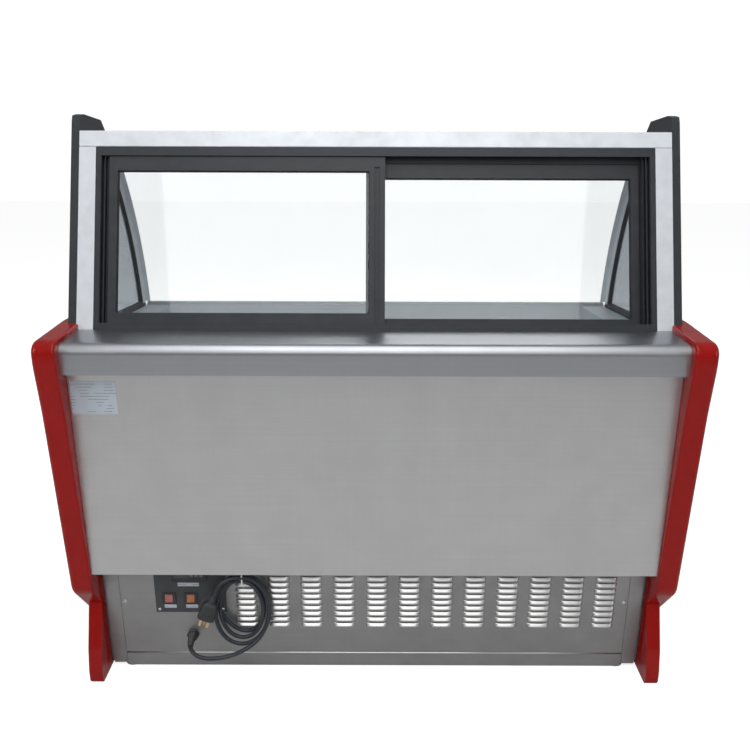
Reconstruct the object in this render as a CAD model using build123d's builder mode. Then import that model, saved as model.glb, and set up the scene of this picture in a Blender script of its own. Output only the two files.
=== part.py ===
"""Curved-glass ice cream display freezer, seen from the staff side at -Y.

Millimetres, +Z up, origin at the middle of the footprint on the floor.
"""

import os
from math import cos, radians, sin, sqrt, tan

from build123d import *

os.makedirs("parts", exist_ok=True)

# ---- driving dimensions
width = 1320.0  # over the two side panels
depth = 800.0  # rear bulge to front bulge of the side panels
height = 1223.0  # floor to the top corner of the end frames
worktop_z = 803.0  # serving worktop
belly_z = 278.0  # underside of the insulated cabinet

panel_thickness = 47.0  # red side panels
skirt_thickness = 31.5  # red foot skirts
sheet = 1.5  # steel sheet
foam_side = 58.5  # insulation of the end walls
foam_floor = 60.0
foam_rear = 60.0
lean = 20.9  # lean of the sliding window, degrees

nose_setback = 23.0  # worktop nose behind the rear bulge
nose_height = 61.0
panel_setback = 48.0  # rear steel panel
base_setback = 100.0  # rear face of the base
window_setback = 138.0  # foot of the window on the worktop
sill_inset = 155.0  # glass line behind the front bulge
sill_drop = 72.0  # front sill below the worktop
top_run = 137.0  # level top of the end frames, front to back
front_glass_radius = 769.0
glass = 6.0

rail_face = 33.3  # pale top rail
frame_deep = 44.0  # depth of the window frame profile
frame_lip = 11.5
jamb_face = 27.0
track_step = 9.0  # the inner track lies this much lower
door_thick = 16.0
door_gap = 1.0  # door to track, each side
door_rail = 31.0
door_stile = 17.5
door_overlap = 20.0  # each door passes the middle by this much

end_thick = 16.5  # dark end frames
end_gap = 4.0  # end frame outside the cabinet wall

post_width = 30.0  # posts of the base
rail_tube = 30.0
base_bottom = 10.0
seam_z = 36.0  # joint of the louvre panel and the bottom strip

# ---- derived places
half = width / 2
body_half = half - panel_thickness
base_half = body_half - 8.0
rear = -depth / 2
front = depth / 2
lean_cos = cos(radians(lean))
lean_sin = sin(radians(lean))
sill_y = front - sill_inset
sill_z = worktop_z - sill_drop
window_y = rear + window_setback
worktop_front = window_y - 0.3
ledge_z = worktop_z - 28.0  # shelf that carries the window frame
ledge_front = window_y + 52.0
shell_rear = rear + panel_setback + sheet
shell_front = front - base_setback
shell_half = body_half
cavity_rear = shell_rear + foam_rear
cavity_half = shell_half - sheet - foam_side
cavity_floor = belly_z + sheet + foam_floor
rail_top = (height - 32.0 - worktop_z) / lean_cos
rail_foot = rail_top - rail_face
window_half = body_half - 31.0
base_rear = rear + base_setback
base_front = front - base_setback
base_mid = (base_rear + base_front) / 2
base_long = base_front - base_rear

window_plane = Plane(
    origin=(0, window_y, worktop_z), x_dir=(1, 0, 0), z_dir=(0, -lean_cos, lean_sin)
)


def window_point(up, inward):
    """Y and Z of a point up the lean and inward of the window's rear face."""
    return (
        window_y + up * lean_sin + inward * lean_cos,
        worktop_z + up * lean_cos - inward * lean_sin,
    )


# ---- side panels and foot skirts
panel_foot = belly_z - 132.0
knee_z = belly_z - 40.0
side_corners = [
    ((rear + 3, worktop_z + 10), 26),
    ((rear - 0.6, worktop_z - 31), 160),
    ((rear + 13, worktop_z - 140), 500),
    ((rear + 40, knee_z), 45),
    ((rear + 118, panel_foot), 22),
    ((front - 118, panel_foot), 22),
    ((front - 52, knee_z), 45),
    ((front - 20, sill_z - 190), 400),
    ((front + 3.3, sill_z - 95), 60),
    ((front - 30, sill_z - 50), 30),
    ((sill_y - 10, sill_z - 18), 120),
    ((rear + 200, worktop_z + 12), 300),
]

frame_rise = (height - 13.0 - worktop_z) / lean_cos
outline_head = (window_point(frame_rise, 0)[0] + top_run, height - 14)
outline_foot = (sill_y + glass + 1, sill_z)


def end_outline():
    """Closed outline of an end frame, in the YZ plane."""
    foot = window_point(-33, 0)
    shoulder = window_point(frame_rise, 0)
    with BuildSketch(Plane.YZ) as outline:
        with BuildLine():
            Polyline(
                outline_foot,
                (outline_foot[0], sill_z - 14),
                foot,
                shoulder,
                (shoulder[0] + 7, height - 2),
                (shoulder[0] + 30, height),
                outline_head,
            )
            RadiusArc(outline_head, outline_foot, front_glass_radius)
        make_face()
    return outline.sketch


end_face = end_outline()
end_start = body_half + end_gap

for side, name in ((-1, "left"), (1, "right")):
    inside_end = -1 if side < 0 else 0
    outside_end = 0 if side < 0 else -1
    with BuildPart() as side_panel:
        with BuildSketch(Plane.YZ.offset(side * body_half)):
            with BuildLine():
                FilletPolyline(
                    [corner for corner, _ in side_corners],
                    radius=[radius for _, radius in side_corners],
                    close=True,
                )
            make_face()
        extrude(amount=side * panel_thickness)
        fillet(side_panel.edges().group_by(Axis.X)[outside_end], 12)
        fillet(side_panel.edges().group_by(Axis.X)[inside_end], 5)
        extrude(
            Pos(side * body_half, 0, 0) * end_face,
            amount=side * (end_gap + end_thick),
            mode=Mode.SUBTRACT,
        )
    side_panel.part.label = f"{name}_side_panel"
    export_step(side_panel.part, f"parts/{name}_side_panel.step")

    with BuildPart() as skirt:
        with BuildSketch(Plane.YZ.offset(side * body_half)):
            with BuildLine():
                FilletPolyline(
                    (rear + 89, belly_z - 98),
                    (rear + 52, 80),
                    (rear + 41, 28),
                    (rear + 41, 0),
                    (rear + 150, 0),
                    (rear + 205, 66),
                    (front - 205, 66),
                    (front - 150, 0),
                    (front - 41, 0),
                    (front - 41, 28),
                    (front - 52, 80),
                    (front - 95, belly_z - 100),
                    (front - 118, panel_foot),
                    (rear + 118, panel_foot),
                    radius=[0, 80, 40, 6, 6, 60, 60, 6, 6, 40, 80, 0, 0, 0],
                    close=True,
                )
            make_face()
        extrude(amount=side * skirt_thickness)
        rim = skirt.edges().group_by(Axis.X)[outside_end]
        fillet([edge for edge in rim if edge.center().Z < panel_foot - 8], 5)
    skirt.part.label = f"{name}_foot_skirt"
    export_step(skirt.part, f"parts/{name}_foot_skirt.step")

# ---- base
with BuildPart() as base_frame:
    for side in (-1, 1):
        with BuildSketch(Plane.YZ.offset(side * (base_half - 5))):
            with Locations((base_mid, (base_bottom + belly_z) / 2)):
                Rectangle(base_long - 24, belly_z - base_bottom)
                Rectangle(base_long - 110, belly_z - base_bottom - 80, mode=Mode.SUBTRACT)
        extrude(amount=side * (body_half - base_half + 5))
    for wall, inward in ((base_rear, 1), (base_front, -1)):
        with BuildSketch(Plane.XY.offset(base_bottom)):
            with Locations((0, wall + inward * (sheet + 20))):
                Rectangle(2 * base_half - 10, 40)
        extrude(amount=rail_tube)
        with BuildSketch(Plane.XY.offset(belly_z - 12)):
            with Locations((0, wall + inward * (sheet + 38))):
                Rectangle(2 * base_half - 10, 30)
        extrude(amount=12)
        with BuildSketch(Plane.XY.offset(base_bottom)):
            for side in (-1, 1):
                with Locations((side * (base_half - post_width / 2), wall + inward * 10)):
                    Rectangle(post_width, 20)
                flange_x = side * (base_half - post_width - 11)
                with Locations((flange_x, wall + inward * (sheet + 1.25))):
                    Rectangle(24, 2.5)
        extrude(amount=belly_z - base_bottom)
base_frame.part.label = "base_frame"
export_step(base_frame.part, "parts/base_frame.step")

tray_floor = base_bottom + rail_tube
tray_long = base_long - 2 * (sheet + 5)
tray_half = base_half - 62.0
with BuildPart() as machine_tray:
    with BuildSketch(Plane.XY.offset(tray_floor)):
        with Locations((0, base_mid)):
            Rectangle(2 * tray_half, tray_long)
    extrude(amount=14)
    with BuildSketch(Plane.XY.offset(tray_floor + sheet)):
        with Locations((0, base_mid)):
            Rectangle(2 * (tray_half - sheet), tray_long - 2 * sheet)
    extrude(amount=14, mode=Mode.SUBTRACT)
machine_tray.part.label = "machine_tray"
export_step(machine_tray.part, "parts/machine_tray.step")

glide_diameter = 38.0
with BuildPart() as glides:
    with BuildSketch(Plane.XY):
        with Locations((0, base_mid)):
            with GridLocations(2 * (base_half - 40), base_long - 2 * (sheet + 20), 2, 2):
                Circle(glide_diameter / 2)
    extrude(amount=base_bottom)
glides.part.label = "glides"
export_step(glides.part, "parts/glides.step")

# ---- louvred rear panel, control plate cut-out and kick panels
louvre_wide = 48.0
louvre_pitch_x = 73.6
louvre_pitch_z = 15.1
louvre_rows = 10
louvre_first_z = 117.0
louvre_reach = 7.0
louvre_tall = 8.0
plate_left = -(base_half - 110.0)
plate_wide = 160.0
plate_low = 148.5
plate_high = 268.0
plate_thick = 2.0
panel_half = base_half - post_width - 1.4
louvre_start = plate_left + plate_wide + 46.0
louvre_run = panel_half - 31 - louvre_wide / 2 - louvre_start
louvre_columns = round(louvre_run / louvre_pitch_x) + 1
louvre_spots = [
    (louvre_start + column * louvre_pitch_x, base_rear, louvre_first_z + row * louvre_pitch_z)
    for column in range(louvre_columns)
    for row in range(louvre_rows)
]
gland_x = plate_left + 79.0
gland_z = 88.0
gland_bore = 9.0

with BuildPart() as louvre_hood:
    with BuildSketch(Plane.YZ.offset(-louvre_wide / 2)):
        with BuildLine():
            Polyline(
                (0.4, louvre_tall / 2),
                (-louvre_reach, -louvre_tall / 2),
                (-louvre_reach + 1.6, -louvre_tall / 2),
                (0.4, louvre_tall / 2 - 2.2),
                close=True,
            )
        make_face()
    extrude(amount=louvre_wide)

with BuildPart() as louvre_panel:
    with BuildSketch(Plane.XZ.offset(-base_rear)):
        with Locations((0, (seam_z + belly_z) / 2)):
            Rectangle(2 * panel_half, belly_z - seam_z)
        with Locations((plate_left + plate_wide / 2, (plate_low + plate_high) / 2)):
            Rectangle(plate_wide - 26, plate_high - plate_low - 16, mode=Mode.SUBTRACT)
        with Locations((gland_x, gland_z)):
            Circle(gland_bore, mode=Mode.SUBTRACT)
    extrude(amount=-sheet)
    with Locations(*louvre_spots):
        Box(louvre_wide - 2, 4 * sheet, louvre_tall - 4.4, mode=Mode.SUBTRACT)
        add(louvre_hood.part)
louvre_panel.part.label = "louvre_panel"
export_step(louvre_panel.part, "parts/louvre_panel.step")

strip_low = 3.0
strip_high = seam_z - 0.6
with BuildPart() as bottom_strip:
    with BuildSketch(Plane.XZ.offset(-base_rear)):
        with Locations((0, (strip_low + strip_high) / 2)):
            Rectangle(2 * panel_half, strip_high - strip_low)
    extrude(amount=-sheet)
bottom_strip.part.label = "bottom_strip"
export_step(bottom_strip.part, "parts/bottom_strip.step")

vent_wide = 70.0
vent_tall = 6.0
vent_columns = int((2 * panel_half - 120) / (vent_wide + 24))
with BuildPart() as front_kick_panel:
    with BuildSketch(Plane.XZ.offset(-base_front + sheet)):
        with Locations((0, (strip_low + belly_z) / 2)):
            Rectangle(2 * panel_half, belly_z - strip_low)
        with Locations((0, belly_z - 108)):
            with GridLocations(vent_wide + 24, 18, vent_columns, 7):
                SlotOverall(vent_wide, vent_tall, mode=Mode.SUBTRACT)
    extrude(amount=-sheet)
front_kick_panel.part.label = "front_kick_panel"
export_step(front_kick_panel.part, "parts/front_kick_panel.step")

# ---- insulated cabinet
sill_flat = sill_y + glass + 8.0  # level part of the front sill ends here
sill_front = front - 54.0
sill_fall = 32.5
sill_slope = sill_fall / (sill_front - sill_flat)
wall_top_rear = worktop_z - sheet
shell_corners = [
    (shell_rear, belly_z),
    (shell_front, belly_z),
    (shell_front, sill_z - sheet - sill_slope * (shell_front - sill_flat)),
    (sill_flat, sill_z - sheet),
    (sill_y - sheet, sill_z - sheet),
    (ledge_front, ledge_z),
    (worktop_front - sheet, ledge_z),
    (worktop_front - sheet, wall_top_rear),
    (shell_rear, wall_top_rear),
]
cavity_corners = [
    (cavity_rear, cavity_floor),
    (sill_y - sheet, cavity_floor),
    (sill_y - sheet, sill_z + 60),
    (ledge_front, worktop_z + 60),
    (ledge_front, worktop_z - 75),
    (cavity_rear, worktop_z - 110),
]

coil_half = cavity_half - sheet - 90.0  # evaporator, half its width
evaporator_y = cavity_rear + sheet + 60.0
riser_x = coil_half + 50.0  # suction pipe through the floor
riser_y = evaporator_y
riser_hole = 6.0

with BuildPart() as cavity:
    with BuildSketch(Plane.YZ.offset(-cavity_half)):
        with BuildLine():
            Polyline(*cavity_corners, close=True)
        make_face()
    extrude(amount=2 * cavity_half)

with BuildPart() as foam_block:
    with BuildSketch(Plane.YZ.offset(-shell_half + sheet)):
        with BuildLine():
            Polyline(*shell_corners, close=True)
        make_face()
        with BuildLine():
            Polyline(
                (shell_rear + sheet, belly_z + sheet),
                (shell_front - sheet, belly_z + sheet),
                (shell_front - sheet, worktop_z + 90),
                (shell_rear + sheet, worktop_z + 90),
                close=True,
            )
        make_face(mode=Mode.INTERSECT)
    extrude(amount=2 * (shell_half - sheet))

with BuildPart() as cabinet_shell:
    with BuildSketch(Plane.YZ.offset(-shell_half)):
        with BuildLine():
            Polyline(*shell_corners, close=True)
        make_face()
    extrude(amount=2 * shell_half)
    add(foam_block.part, mode=Mode.SUBTRACT)
    with Locations((riser_x, riser_y, cavity_floor)):
        Cylinder(riser_hole, 4 * foam_floor, mode=Mode.SUBTRACT)
cabinet_shell.part.label = "cabinet_shell"
export_step(cabinet_shell.part, "parts/cabinet_shell.step")

with BuildPart() as insulation:
    add(foam_block.part)
    add(cavity.part, mode=Mode.SUBTRACT)
    with Locations((riser_x, riser_y, cavity_floor)):
        Cylinder(riser_hole, 4 * foam_floor, mode=Mode.SUBTRACT)
insulation.part.label = "insulation"
export_step(insulation.part, "parts/insulation.step")

deck_z = sill_z - 95.0
ledge_reach = 14.0
with BuildPart() as inner_liner:
    add(cavity.part)
    with BuildSketch(Plane.YZ.offset(-cavity_half + sheet)):
        with BuildLine():
            Polyline(
                (cavity_rear + sheet, cavity_floor + sheet),
                (sill_y - 2 * sheet, cavity_floor + sheet),
                (sill_y - 2 * sheet, worktop_z + 90),
                (ledge_front + sheet, worktop_z + 90),
                (ledge_front + sheet, worktop_z - 75 - sheet),
                (cavity_rear + sheet, worktop_z - 110 - sheet),
                close=True,
            )
        make_face()
    extrude(amount=2 * (cavity_half - sheet), mode=Mode.SUBTRACT)
    with BuildSketch(Plane.YZ.offset(-shell_half)):
        with BuildLine():
            Polyline(
                (ledge_front, ledge_z),
                (sill_y - sheet, sill_z - sheet),
                (sill_y - sheet, worktop_z + 90),
                (ledge_front, worktop_z + 90),
                close=True,
            )
        make_face()
    extrude(amount=2 * shell_half, mode=Mode.SUBTRACT)
    for side in (-1, 1):
        with BuildSketch(Plane.YZ.offset(side * (cavity_half - sheet))):
            with BuildLine():
                Polyline(
                    (ledge_front, ledge_z),
                    (sill_y - sheet, sill_z - sheet),
                    (sill_y - sheet, sill_z),
                    (ledge_front, ledge_z + sheet),
                    close=True,
                )
            make_face()
        extrude(amount=side * (shell_half - cavity_half + sheet))
    with Locations((riser_x, riser_y, cavity_floor)):
        Cylinder(riser_hole, foam_floor, mode=Mode.SUBTRACT)
    for wall, inward in ((cavity_rear + sheet, 1), (sill_y - 2 * sheet, -1)):
        with Locations((0, wall + inward * ledge_reach / 2, deck_z - 1.5 * sheet)):
            Box(2 * (cavity_half - sheet), ledge_reach, sheet)
inner_liner.part.label = "inner_liner"
export_step(inner_liner.part, "parts/inner_liner.step")

rear_panel_top = worktop_z - nose_height + 3
with BuildPart() as rear_panel:
    with BuildSketch(Plane.XZ.offset(-(rear + panel_setback))):
        with Locations((0, (belly_z + rear_panel_top) / 2)):
            Rectangle(2 * body_half - 4, rear_panel_top - belly_z)
    extrude(amount=-sheet)
rear_panel.part.label = "rear_panel"
export_step(rear_panel.part, "parts/rear_panel.step")

nose_y = rear + nose_setback
nose_low = worktop_z - nose_height
nose_round = 20.0
with BuildPart() as worktop:
    with BuildSketch(Plane.YZ.offset(-body_half)):
        with BuildLine():
            FilletPolyline(
                (nose_y, nose_low),
                (nose_y, worktop_z),
                (worktop_front, worktop_z),
                radius=nose_round,
            )
            FilletPolyline(
                (nose_y + sheet, nose_low + sheet),
                (nose_y + sheet, worktop_z - sheet),
                (worktop_front - sheet, worktop_z - sheet),
                radius=nose_round - sheet,
            )
            Polyline(
                (worktop_front, worktop_z),
                (worktop_front, worktop_z - 20),
                (worktop_front - sheet, worktop_z - 20),
                (worktop_front - sheet, worktop_z - sheet),
            )
            Polyline(
                (nose_y, nose_low),
                (nose_y + 20, nose_low),
                (nose_y + 20, nose_low + sheet),
                (nose_y + sheet, nose_low + sheet),
            )
        make_face()
    extrude(amount=2 * body_half)
worktop.part.label = "worktop"
export_step(worktop.part, "parts/worktop.step")

fascia_low = base_front
fascia_top = sill_z - sheet - sill_slope * (front - 60 - sill_flat) - 0.2
fascia_path = [
    (front - 62, fascia_top),
    (front - 50, sill_z - 100),
    (front - 66, sill_z - 200),
    (fascia_low, belly_z + 60),
    (fascia_low, belly_z),
]
with BuildPart() as front_fascia:
    with BuildSketch(Plane.YZ.offset(-body_half)):
        with BuildLine():
            FilletPolyline(
                [*fascia_path, *[(y + 2, z) for y, z in reversed(fascia_path)]],
                radius=[0, 50, 200, 60, 0, 0, 60, 200, 50, 0],
                close=True,
            )
        make_face()
    extrude(amount=2 * body_half)
front_fascia.part.label = "front_fascia"
export_step(front_fascia.part, "parts/front_fascia.step")

with BuildPart() as front_sill:
    with BuildSketch(Plane.YZ.offset(-body_half)):
        with BuildLine():
            FilletPolyline(
                (sill_y - sheet, sill_z - sheet),
                (sill_flat, sill_z - sheet),
                (sill_front, sill_z - sheet - sill_fall),
                (sill_front, sill_z - sill_fall + 5),
                (sill_flat + 4, sill_z + 8),
                (sill_y + glass + 0.4, sill_z + 8),
                (sill_y + glass + 0.4, sill_z + 3),
                (sill_y - sheet, sill_z + 3),
                radius=[0, 0, 2, 3, 5, 1, 0, 1],
                close=True,
            )
        make_face()
    extrude(amount=2 * body_half)
front_sill.part.label = "front_sill"
export_step(front_sill.part, "parts/front_sill.step")

# ---- glass canopy: end frames, end glasses, front glass, top plate
ring_width = 24.0
ring_rebate = 8.0
canopy_level = Plane.XY.offset(height - 44)
pane_level = Plane.XY.offset(height - 44 + ring_rebate)
ring_hole = split(offset(end_face, amount=-ring_width), canopy_level, Keep.BOTTOM)
glass_face = split(offset(end_face, amount=-ring_width + ring_rebate), pane_level, Keep.BOTTOM)
glazing_start = end_start + 5.0
end_glass_thick = 5.0

with BuildPart() as end_frames:
    for side in (-1, 1):
        extrude(Pos(side * end_start, 0, 0) * end_face, amount=side * end_thick)
        extrude(
            Pos(side * end_start, 0, 0) * ring_hole,
            amount=side * end_thick,
            mode=Mode.SUBTRACT,
        )
        extrude(
            Pos(side * glazing_start, 0, 0) * glass_face,
            amount=side * end_glass_thick,
            mode=Mode.SUBTRACT,
        )
end_frames.part.label = "end_frames"
export_step(end_frames.part, "parts/end_frames.step")

with BuildPart() as end_glasses:
    for side in (-1, 1):
        extrude(Pos(side * glazing_start, 0, 0) * glass_face, amount=side * end_glass_thick)
end_glasses.part.label = "end_glasses"
export_step(end_glasses.part, "parts/end_glasses.step")

rail_deep = 35.0
canopy_half = end_start - 0.4
rail_inner_low = window_point(rail_top - 12, rail_deep)
rail_inner_top = window_point(rail_top, rail_deep)
canopy_drop = 4.0  # the canopy falls a little towards the front
head_z = rail_inner_top[1] - canopy_drop
chord = Vector(*outline_foot) - Vector(*outline_head)
bow = sqrt(front_glass_radius**2 - (chord.length / 2) ** 2)
arc_middle = (Vector(*outline_head) + Vector(*outline_foot)) / 2 - Vector(
    -chord.Y, chord.X
).normalized() * bow
head_y = arc_middle.X + sqrt(
    (front_glass_radius - glass - 3) ** 2 - (head_z - arc_middle.Y) ** 2
)
canopy_front = (head_y, head_z)
canopy_slope = (canopy_front[1] - rail_inner_top[1]) / (canopy_front[0] - rail_inner_top[0])
canopy_thick = rail_inner_top[1] - rail_inner_low[1] - canopy_slope * (
    rail_inner_top[0] - rail_inner_low[0]
)

with BuildPart() as canopy:
    with BuildSketch(Plane.YZ.offset(-canopy_half)):
        with BuildLine():
            Polyline(
                rail_inner_low,
                rail_inner_top,
                canopy_front,
                (canopy_front[0], canopy_front[1] - canopy_thick),
                close=True,
            )
        make_face()
    extrude(amount=2 * canopy_half)
canopy.part.label = "canopy"
export_step(canopy.part, "parts/canopy.step")

glass_base = (sill_y, sill_z + 3.2)
glass_head = (canopy_front[0] + 0.3, canopy_front[1])
with BuildPart() as front_glass:
    with BuildSketch(Plane.YZ.offset(-canopy_half)):
        with BuildLine():
            RadiusArc(glass_head, glass_base, front_glass_radius)
            Line(glass_base, (glass_base[0] + glass, glass_base[1]))
            RadiusArc(
                (glass_head[0] + glass, glass_head[1]),
                (glass_base[0] + glass, glass_base[1]),
                front_glass_radius,
            )
            Line((glass_head[0] + glass, glass_head[1]), glass_head)
        make_face()
    extrude(amount=2 * canopy_half)
front_glass.part.label = "front_glass"
export_step(front_glass.part, "parts/front_glass.step")

# ---- window: rail, posts, track frame
with BuildPart() as top_rail:
    with BuildSketch(window_plane):
        with Locations((0, (rail_foot + rail_top) / 2)):
            Rectangle(2 * canopy_half, rail_face)
    extrude(amount=-rail_deep)
    fillet(top_rail.edges().filter_by(Axis.X).group_by(Axis.Y)[0], 2)
top_rail.part.label = "top_rail"
export_step(top_rail.part, "parts/top_rail.step")

post_middle = (window_half + canopy_half) / 2
post_width_face = canopy_half - window_half
post_seam = 0.6
with BuildPart() as window_posts:
    with BuildSketch(window_plane):
        for side in (-1, 1):
            with Locations((side * post_middle, (rail_foot - post_seam - 60) / 2)):
                Rectangle(post_width_face, rail_foot - post_seam + 60)
    extrude(amount=-rail_deep)
    split(bisect_by=Plane.XY.offset(ledge_z), keep=Keep.TOP)
    split(bisect_by=Plane.XZ.offset(-window_y), keep=Keep.BOTTOM)
window_posts.part.label = "window_posts"
export_step(window_posts.part, "parts/window_posts.step")

lip_low = 14.0
lip_high = rail_foot - 18.5
lip_deep = 3.0
track_deep = door_thick + 2 * door_gap
fin_deep = 2.0
near_track = lip_deep
far_track = lip_deep + track_deep + fin_deep
jamb_half = window_half - jamb_face
track_reach = 9.0  # track channels above and below the lips


def window_box(low_x, high_x, low_v, high_v, start, end, mode):
    """Block on the leaning plane: across, up the lean, and inward from its face."""
    with BuildSketch(window_plane.offset(-start)) as block:
        with Locations(((low_x + high_x) / 2, (low_v + high_v) / 2)):
            Rectangle(high_x - low_x, high_v - low_v)
    extrude(block.sketch, amount=start - end, mode=mode)


with BuildPart() as window_frame:
    window_box(-window_half, window_half, -60, rail_foot, 0, frame_deep, Mode.ADD)
    lip_half = window_half - frame_lip
    window_box(-lip_half, lip_half, lip_low, lip_high, 0, lip_deep, Mode.SUBTRACT)
    window_box(
        -jamb_half,
        jamb_half,
        lip_low - track_reach,
        lip_high + track_reach,
        near_track,
        near_track + track_deep,
        Mode.SUBTRACT,
    )
    window_box(
        -jamb_half,
        jamb_half,
        lip_low - track_step,
        lip_high - track_step,
        near_track,
        frame_deep,
        Mode.SUBTRACT,
    )
    window_box(
        -jamb_half,
        jamb_half,
        lip_low - track_reach - track_step,
        lip_high + track_reach - track_step,
        far_track,
        far_track + track_deep,
        Mode.SUBTRACT,
    )
    for side in (-1, 1):
        for groove in (0.4, 8.2):
            low = side * (jamb_half + groove)
            high = side * (jamb_half + groove + 6.6)
            window_box(
                min(low, high), max(low, high), lip_low, lip_high, near_track, 15, Mode.SUBTRACT
            )
    split(bisect_by=Plane.XY.offset(ledge_z), keep=Keep.TOP)
    split(bisect_by=Plane.XZ.offset(-window_y), keep=Keep.BOTTOM)
window_frame.part.label = "window_frame"
export_step(window_frame.part, "parts/window_frame.step")

# ---- sliding doors
door_glass = 5.0
door_wide = jamb_half - 0.5 + door_overlap
door_foot_play = 0.3
door_head_play = 1.5
pull_groove = 11.0

for side, name, start, shift in (
    (-1, "left", near_track + door_gap, 0.0),
    (1, "right", far_track + door_gap, -track_step),
):
    outer_x = side * (jamb_half - 0.5)
    inner_x = -side * door_overlap
    low_x = min(outer_x, inner_x)
    high_x = max(outer_x, inner_x)
    foot_v = lip_low - track_reach + door_foot_play + shift
    head_v = lip_high + track_reach - door_head_play + shift
    meet_low = min(inner_x, inner_x + side * 33)
    meet_high = max(inner_x, inner_x + side * 33)
    pane_low = low_x + (door_stile if side < 0 else 33)
    pane_high = high_x - (33 if side < 0 else door_stile)
    pane_foot = foot_v + door_rail - 1.3
    pane_head = head_v - door_rail - 7
    end = start + door_thick
    pane_start = start + (door_thick - door_glass) / 2
    with BuildPart() as door_frame:
        window_box(low_x, high_x, foot_v, head_v, start, end, Mode.ADD)
        window_box(pane_low, pane_high, pane_foot, pane_head, start, end, Mode.SUBTRACT)
        window_box(
            pane_low - 7,
            pane_high + 7,
            pane_foot - 7,
            pane_head + 7,
            pane_start,
            pane_start + door_glass,
            Mode.SUBTRACT,
        )
        groove_x = (meet_low + meet_high) / 2
        window_box(
            groove_x - pull_groove / 2,
            groove_x + pull_groove / 2,
            lip_low + shift + 4,
            lip_high + shift - 22,
            start,
            start + 3.5,
            Mode.SUBTRACT,
        )
    door_frame.part.label = f"{name}_door_frame"
    export_step(door_frame.part, f"parts/{name}_door_frame.step")
    with BuildPart() as door_pane:
        window_box(
            pane_low - 7,
            pane_high + 7,
            pane_foot - 7,
            pane_head + 7,
            pane_start,
            pane_start + door_glass,
            Mode.ADD,
        )
    door_pane.part.label = f"{name}_door_glass"
    export_step(door_pane.part, f"parts/{name}_door_glass.step")

print("door travel", round(2 * jamb_half - 1 - door_wide, 2))

# ---- lamp under the canopy
lamp_half = body_half - 58.0
lamp_y = rail_inner_top[0] + 16
lamp_under = rail_inner_low[1] + canopy_slope * (lamp_y - rail_inner_low[0])
lamp_width = 28.0
tube_radius = 8.0
tube_z = lamp_under - 34.0
with BuildPart() as lamp_housing:
    with BuildSketch(Plane.YZ.offset(-lamp_half)):
        with BuildLine():
            Polyline(
                (lamp_y - lamp_width / 2, lamp_under - canopy_slope * lamp_width / 2),
                (lamp_y + lamp_width / 2, lamp_under + canopy_slope * lamp_width / 2),
                (lamp_y + lamp_width / 2, lamp_under - 18),
                (lamp_y - lamp_width / 2, lamp_under - 18),
                close=True,
            )
        make_face()
    extrude(amount=2 * lamp_half)
    for side in (-1, 1):
        with BuildSketch(Plane.YZ.offset(side * lamp_half)):
            with Locations((lamp_y, (lamp_under - 18 + tube_z - 10) / 2)):
                Rectangle(22, lamp_under - 18 - tube_z + 12)
        extrude(amount=-side * 14)
lamp_housing.part.label = "lamp_housing"
export_step(lamp_housing.part, "parts/lamp_housing.step")

with BuildPart() as lamp_tube:
    with BuildSketch(Plane.YZ.offset(-lamp_half + 14)):
        with Locations((lamp_y, tube_z)):
            Circle(tube_radius)
    extrude(amount=2 * lamp_half - 28)
lamp_tube.part.label = "lamp_tube"
export_step(lamp_tube.part, "parts/lamp_tube.step")

# ---- display decks on the liner's ledges
deck_count = 3
deck_gap = 2.0
liner_half = cavity_half - sheet
liner_rear = cavity_rear + sheet
liner_front = sill_y - 2 * sheet
deck_wide = (2 * liner_half - deck_gap * (deck_count + 1)) / deck_count
deck_long = liner_front - liner_rear - 2
deck_mid = (liner_front + liner_rear) / 2
with BuildPart() as display_decks:
    with BuildSketch(Plane.XY.offset(deck_z - sheet)):
        with Locations((0, deck_mid)):
            with GridLocations(deck_wide + deck_gap, 1, deck_count, 1):
                Rectangle(deck_wide, deck_long)
    extrude(amount=sheet)
    with BuildSketch(Plane.XY.offset(deck_z - sheet)):
        with Locations((0, deck_mid)):
            with GridLocations(deck_wide + deck_gap, 60, deck_count, 5):
                SlotOverall(deck_wide - 80, 12, mode=Mode.ADD)
    extrude(amount=sheet, mode=Mode.SUBTRACT)
display_decks.part.label = "display_decks"
export_step(display_decks.part, "parts/display_decks.step")

# ---- evaporator with its fans, on the liner floor
coil_floor = cavity_floor + sheet
coil_tall = 120.0
fin_count = 24
coil_deep = 86.0
with BuildPart() as evaporator:
    for side in (-1, 1):
        with Locations((side * coil_half, evaporator_y, coil_floor + coil_tall / 2)):
            Box(2, coil_deep + 14, coil_tall)
    for row in range(3):
        for column in range(3):
            tube_at = (evaporator_y - 28 + 28 * column, coil_floor + 30 + 30 * row)
            with BuildSketch(Plane.YZ.offset(-coil_half - 12)):
                with Locations(tube_at):
                    Circle(4.8)
            extrude(amount=2 * coil_half + 24)
    with Locations((0, evaporator_y, coil_floor + coil_tall / 2 + 2)):
        with GridLocations(2 * coil_half / (fin_count + 1), 1, fin_count, 1):
            Box(1.2, coil_deep, coil_tall - 12)
evaporator.part.label = "evaporator"
export_step(evaporator.part, "parts/evaporator.step")

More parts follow.
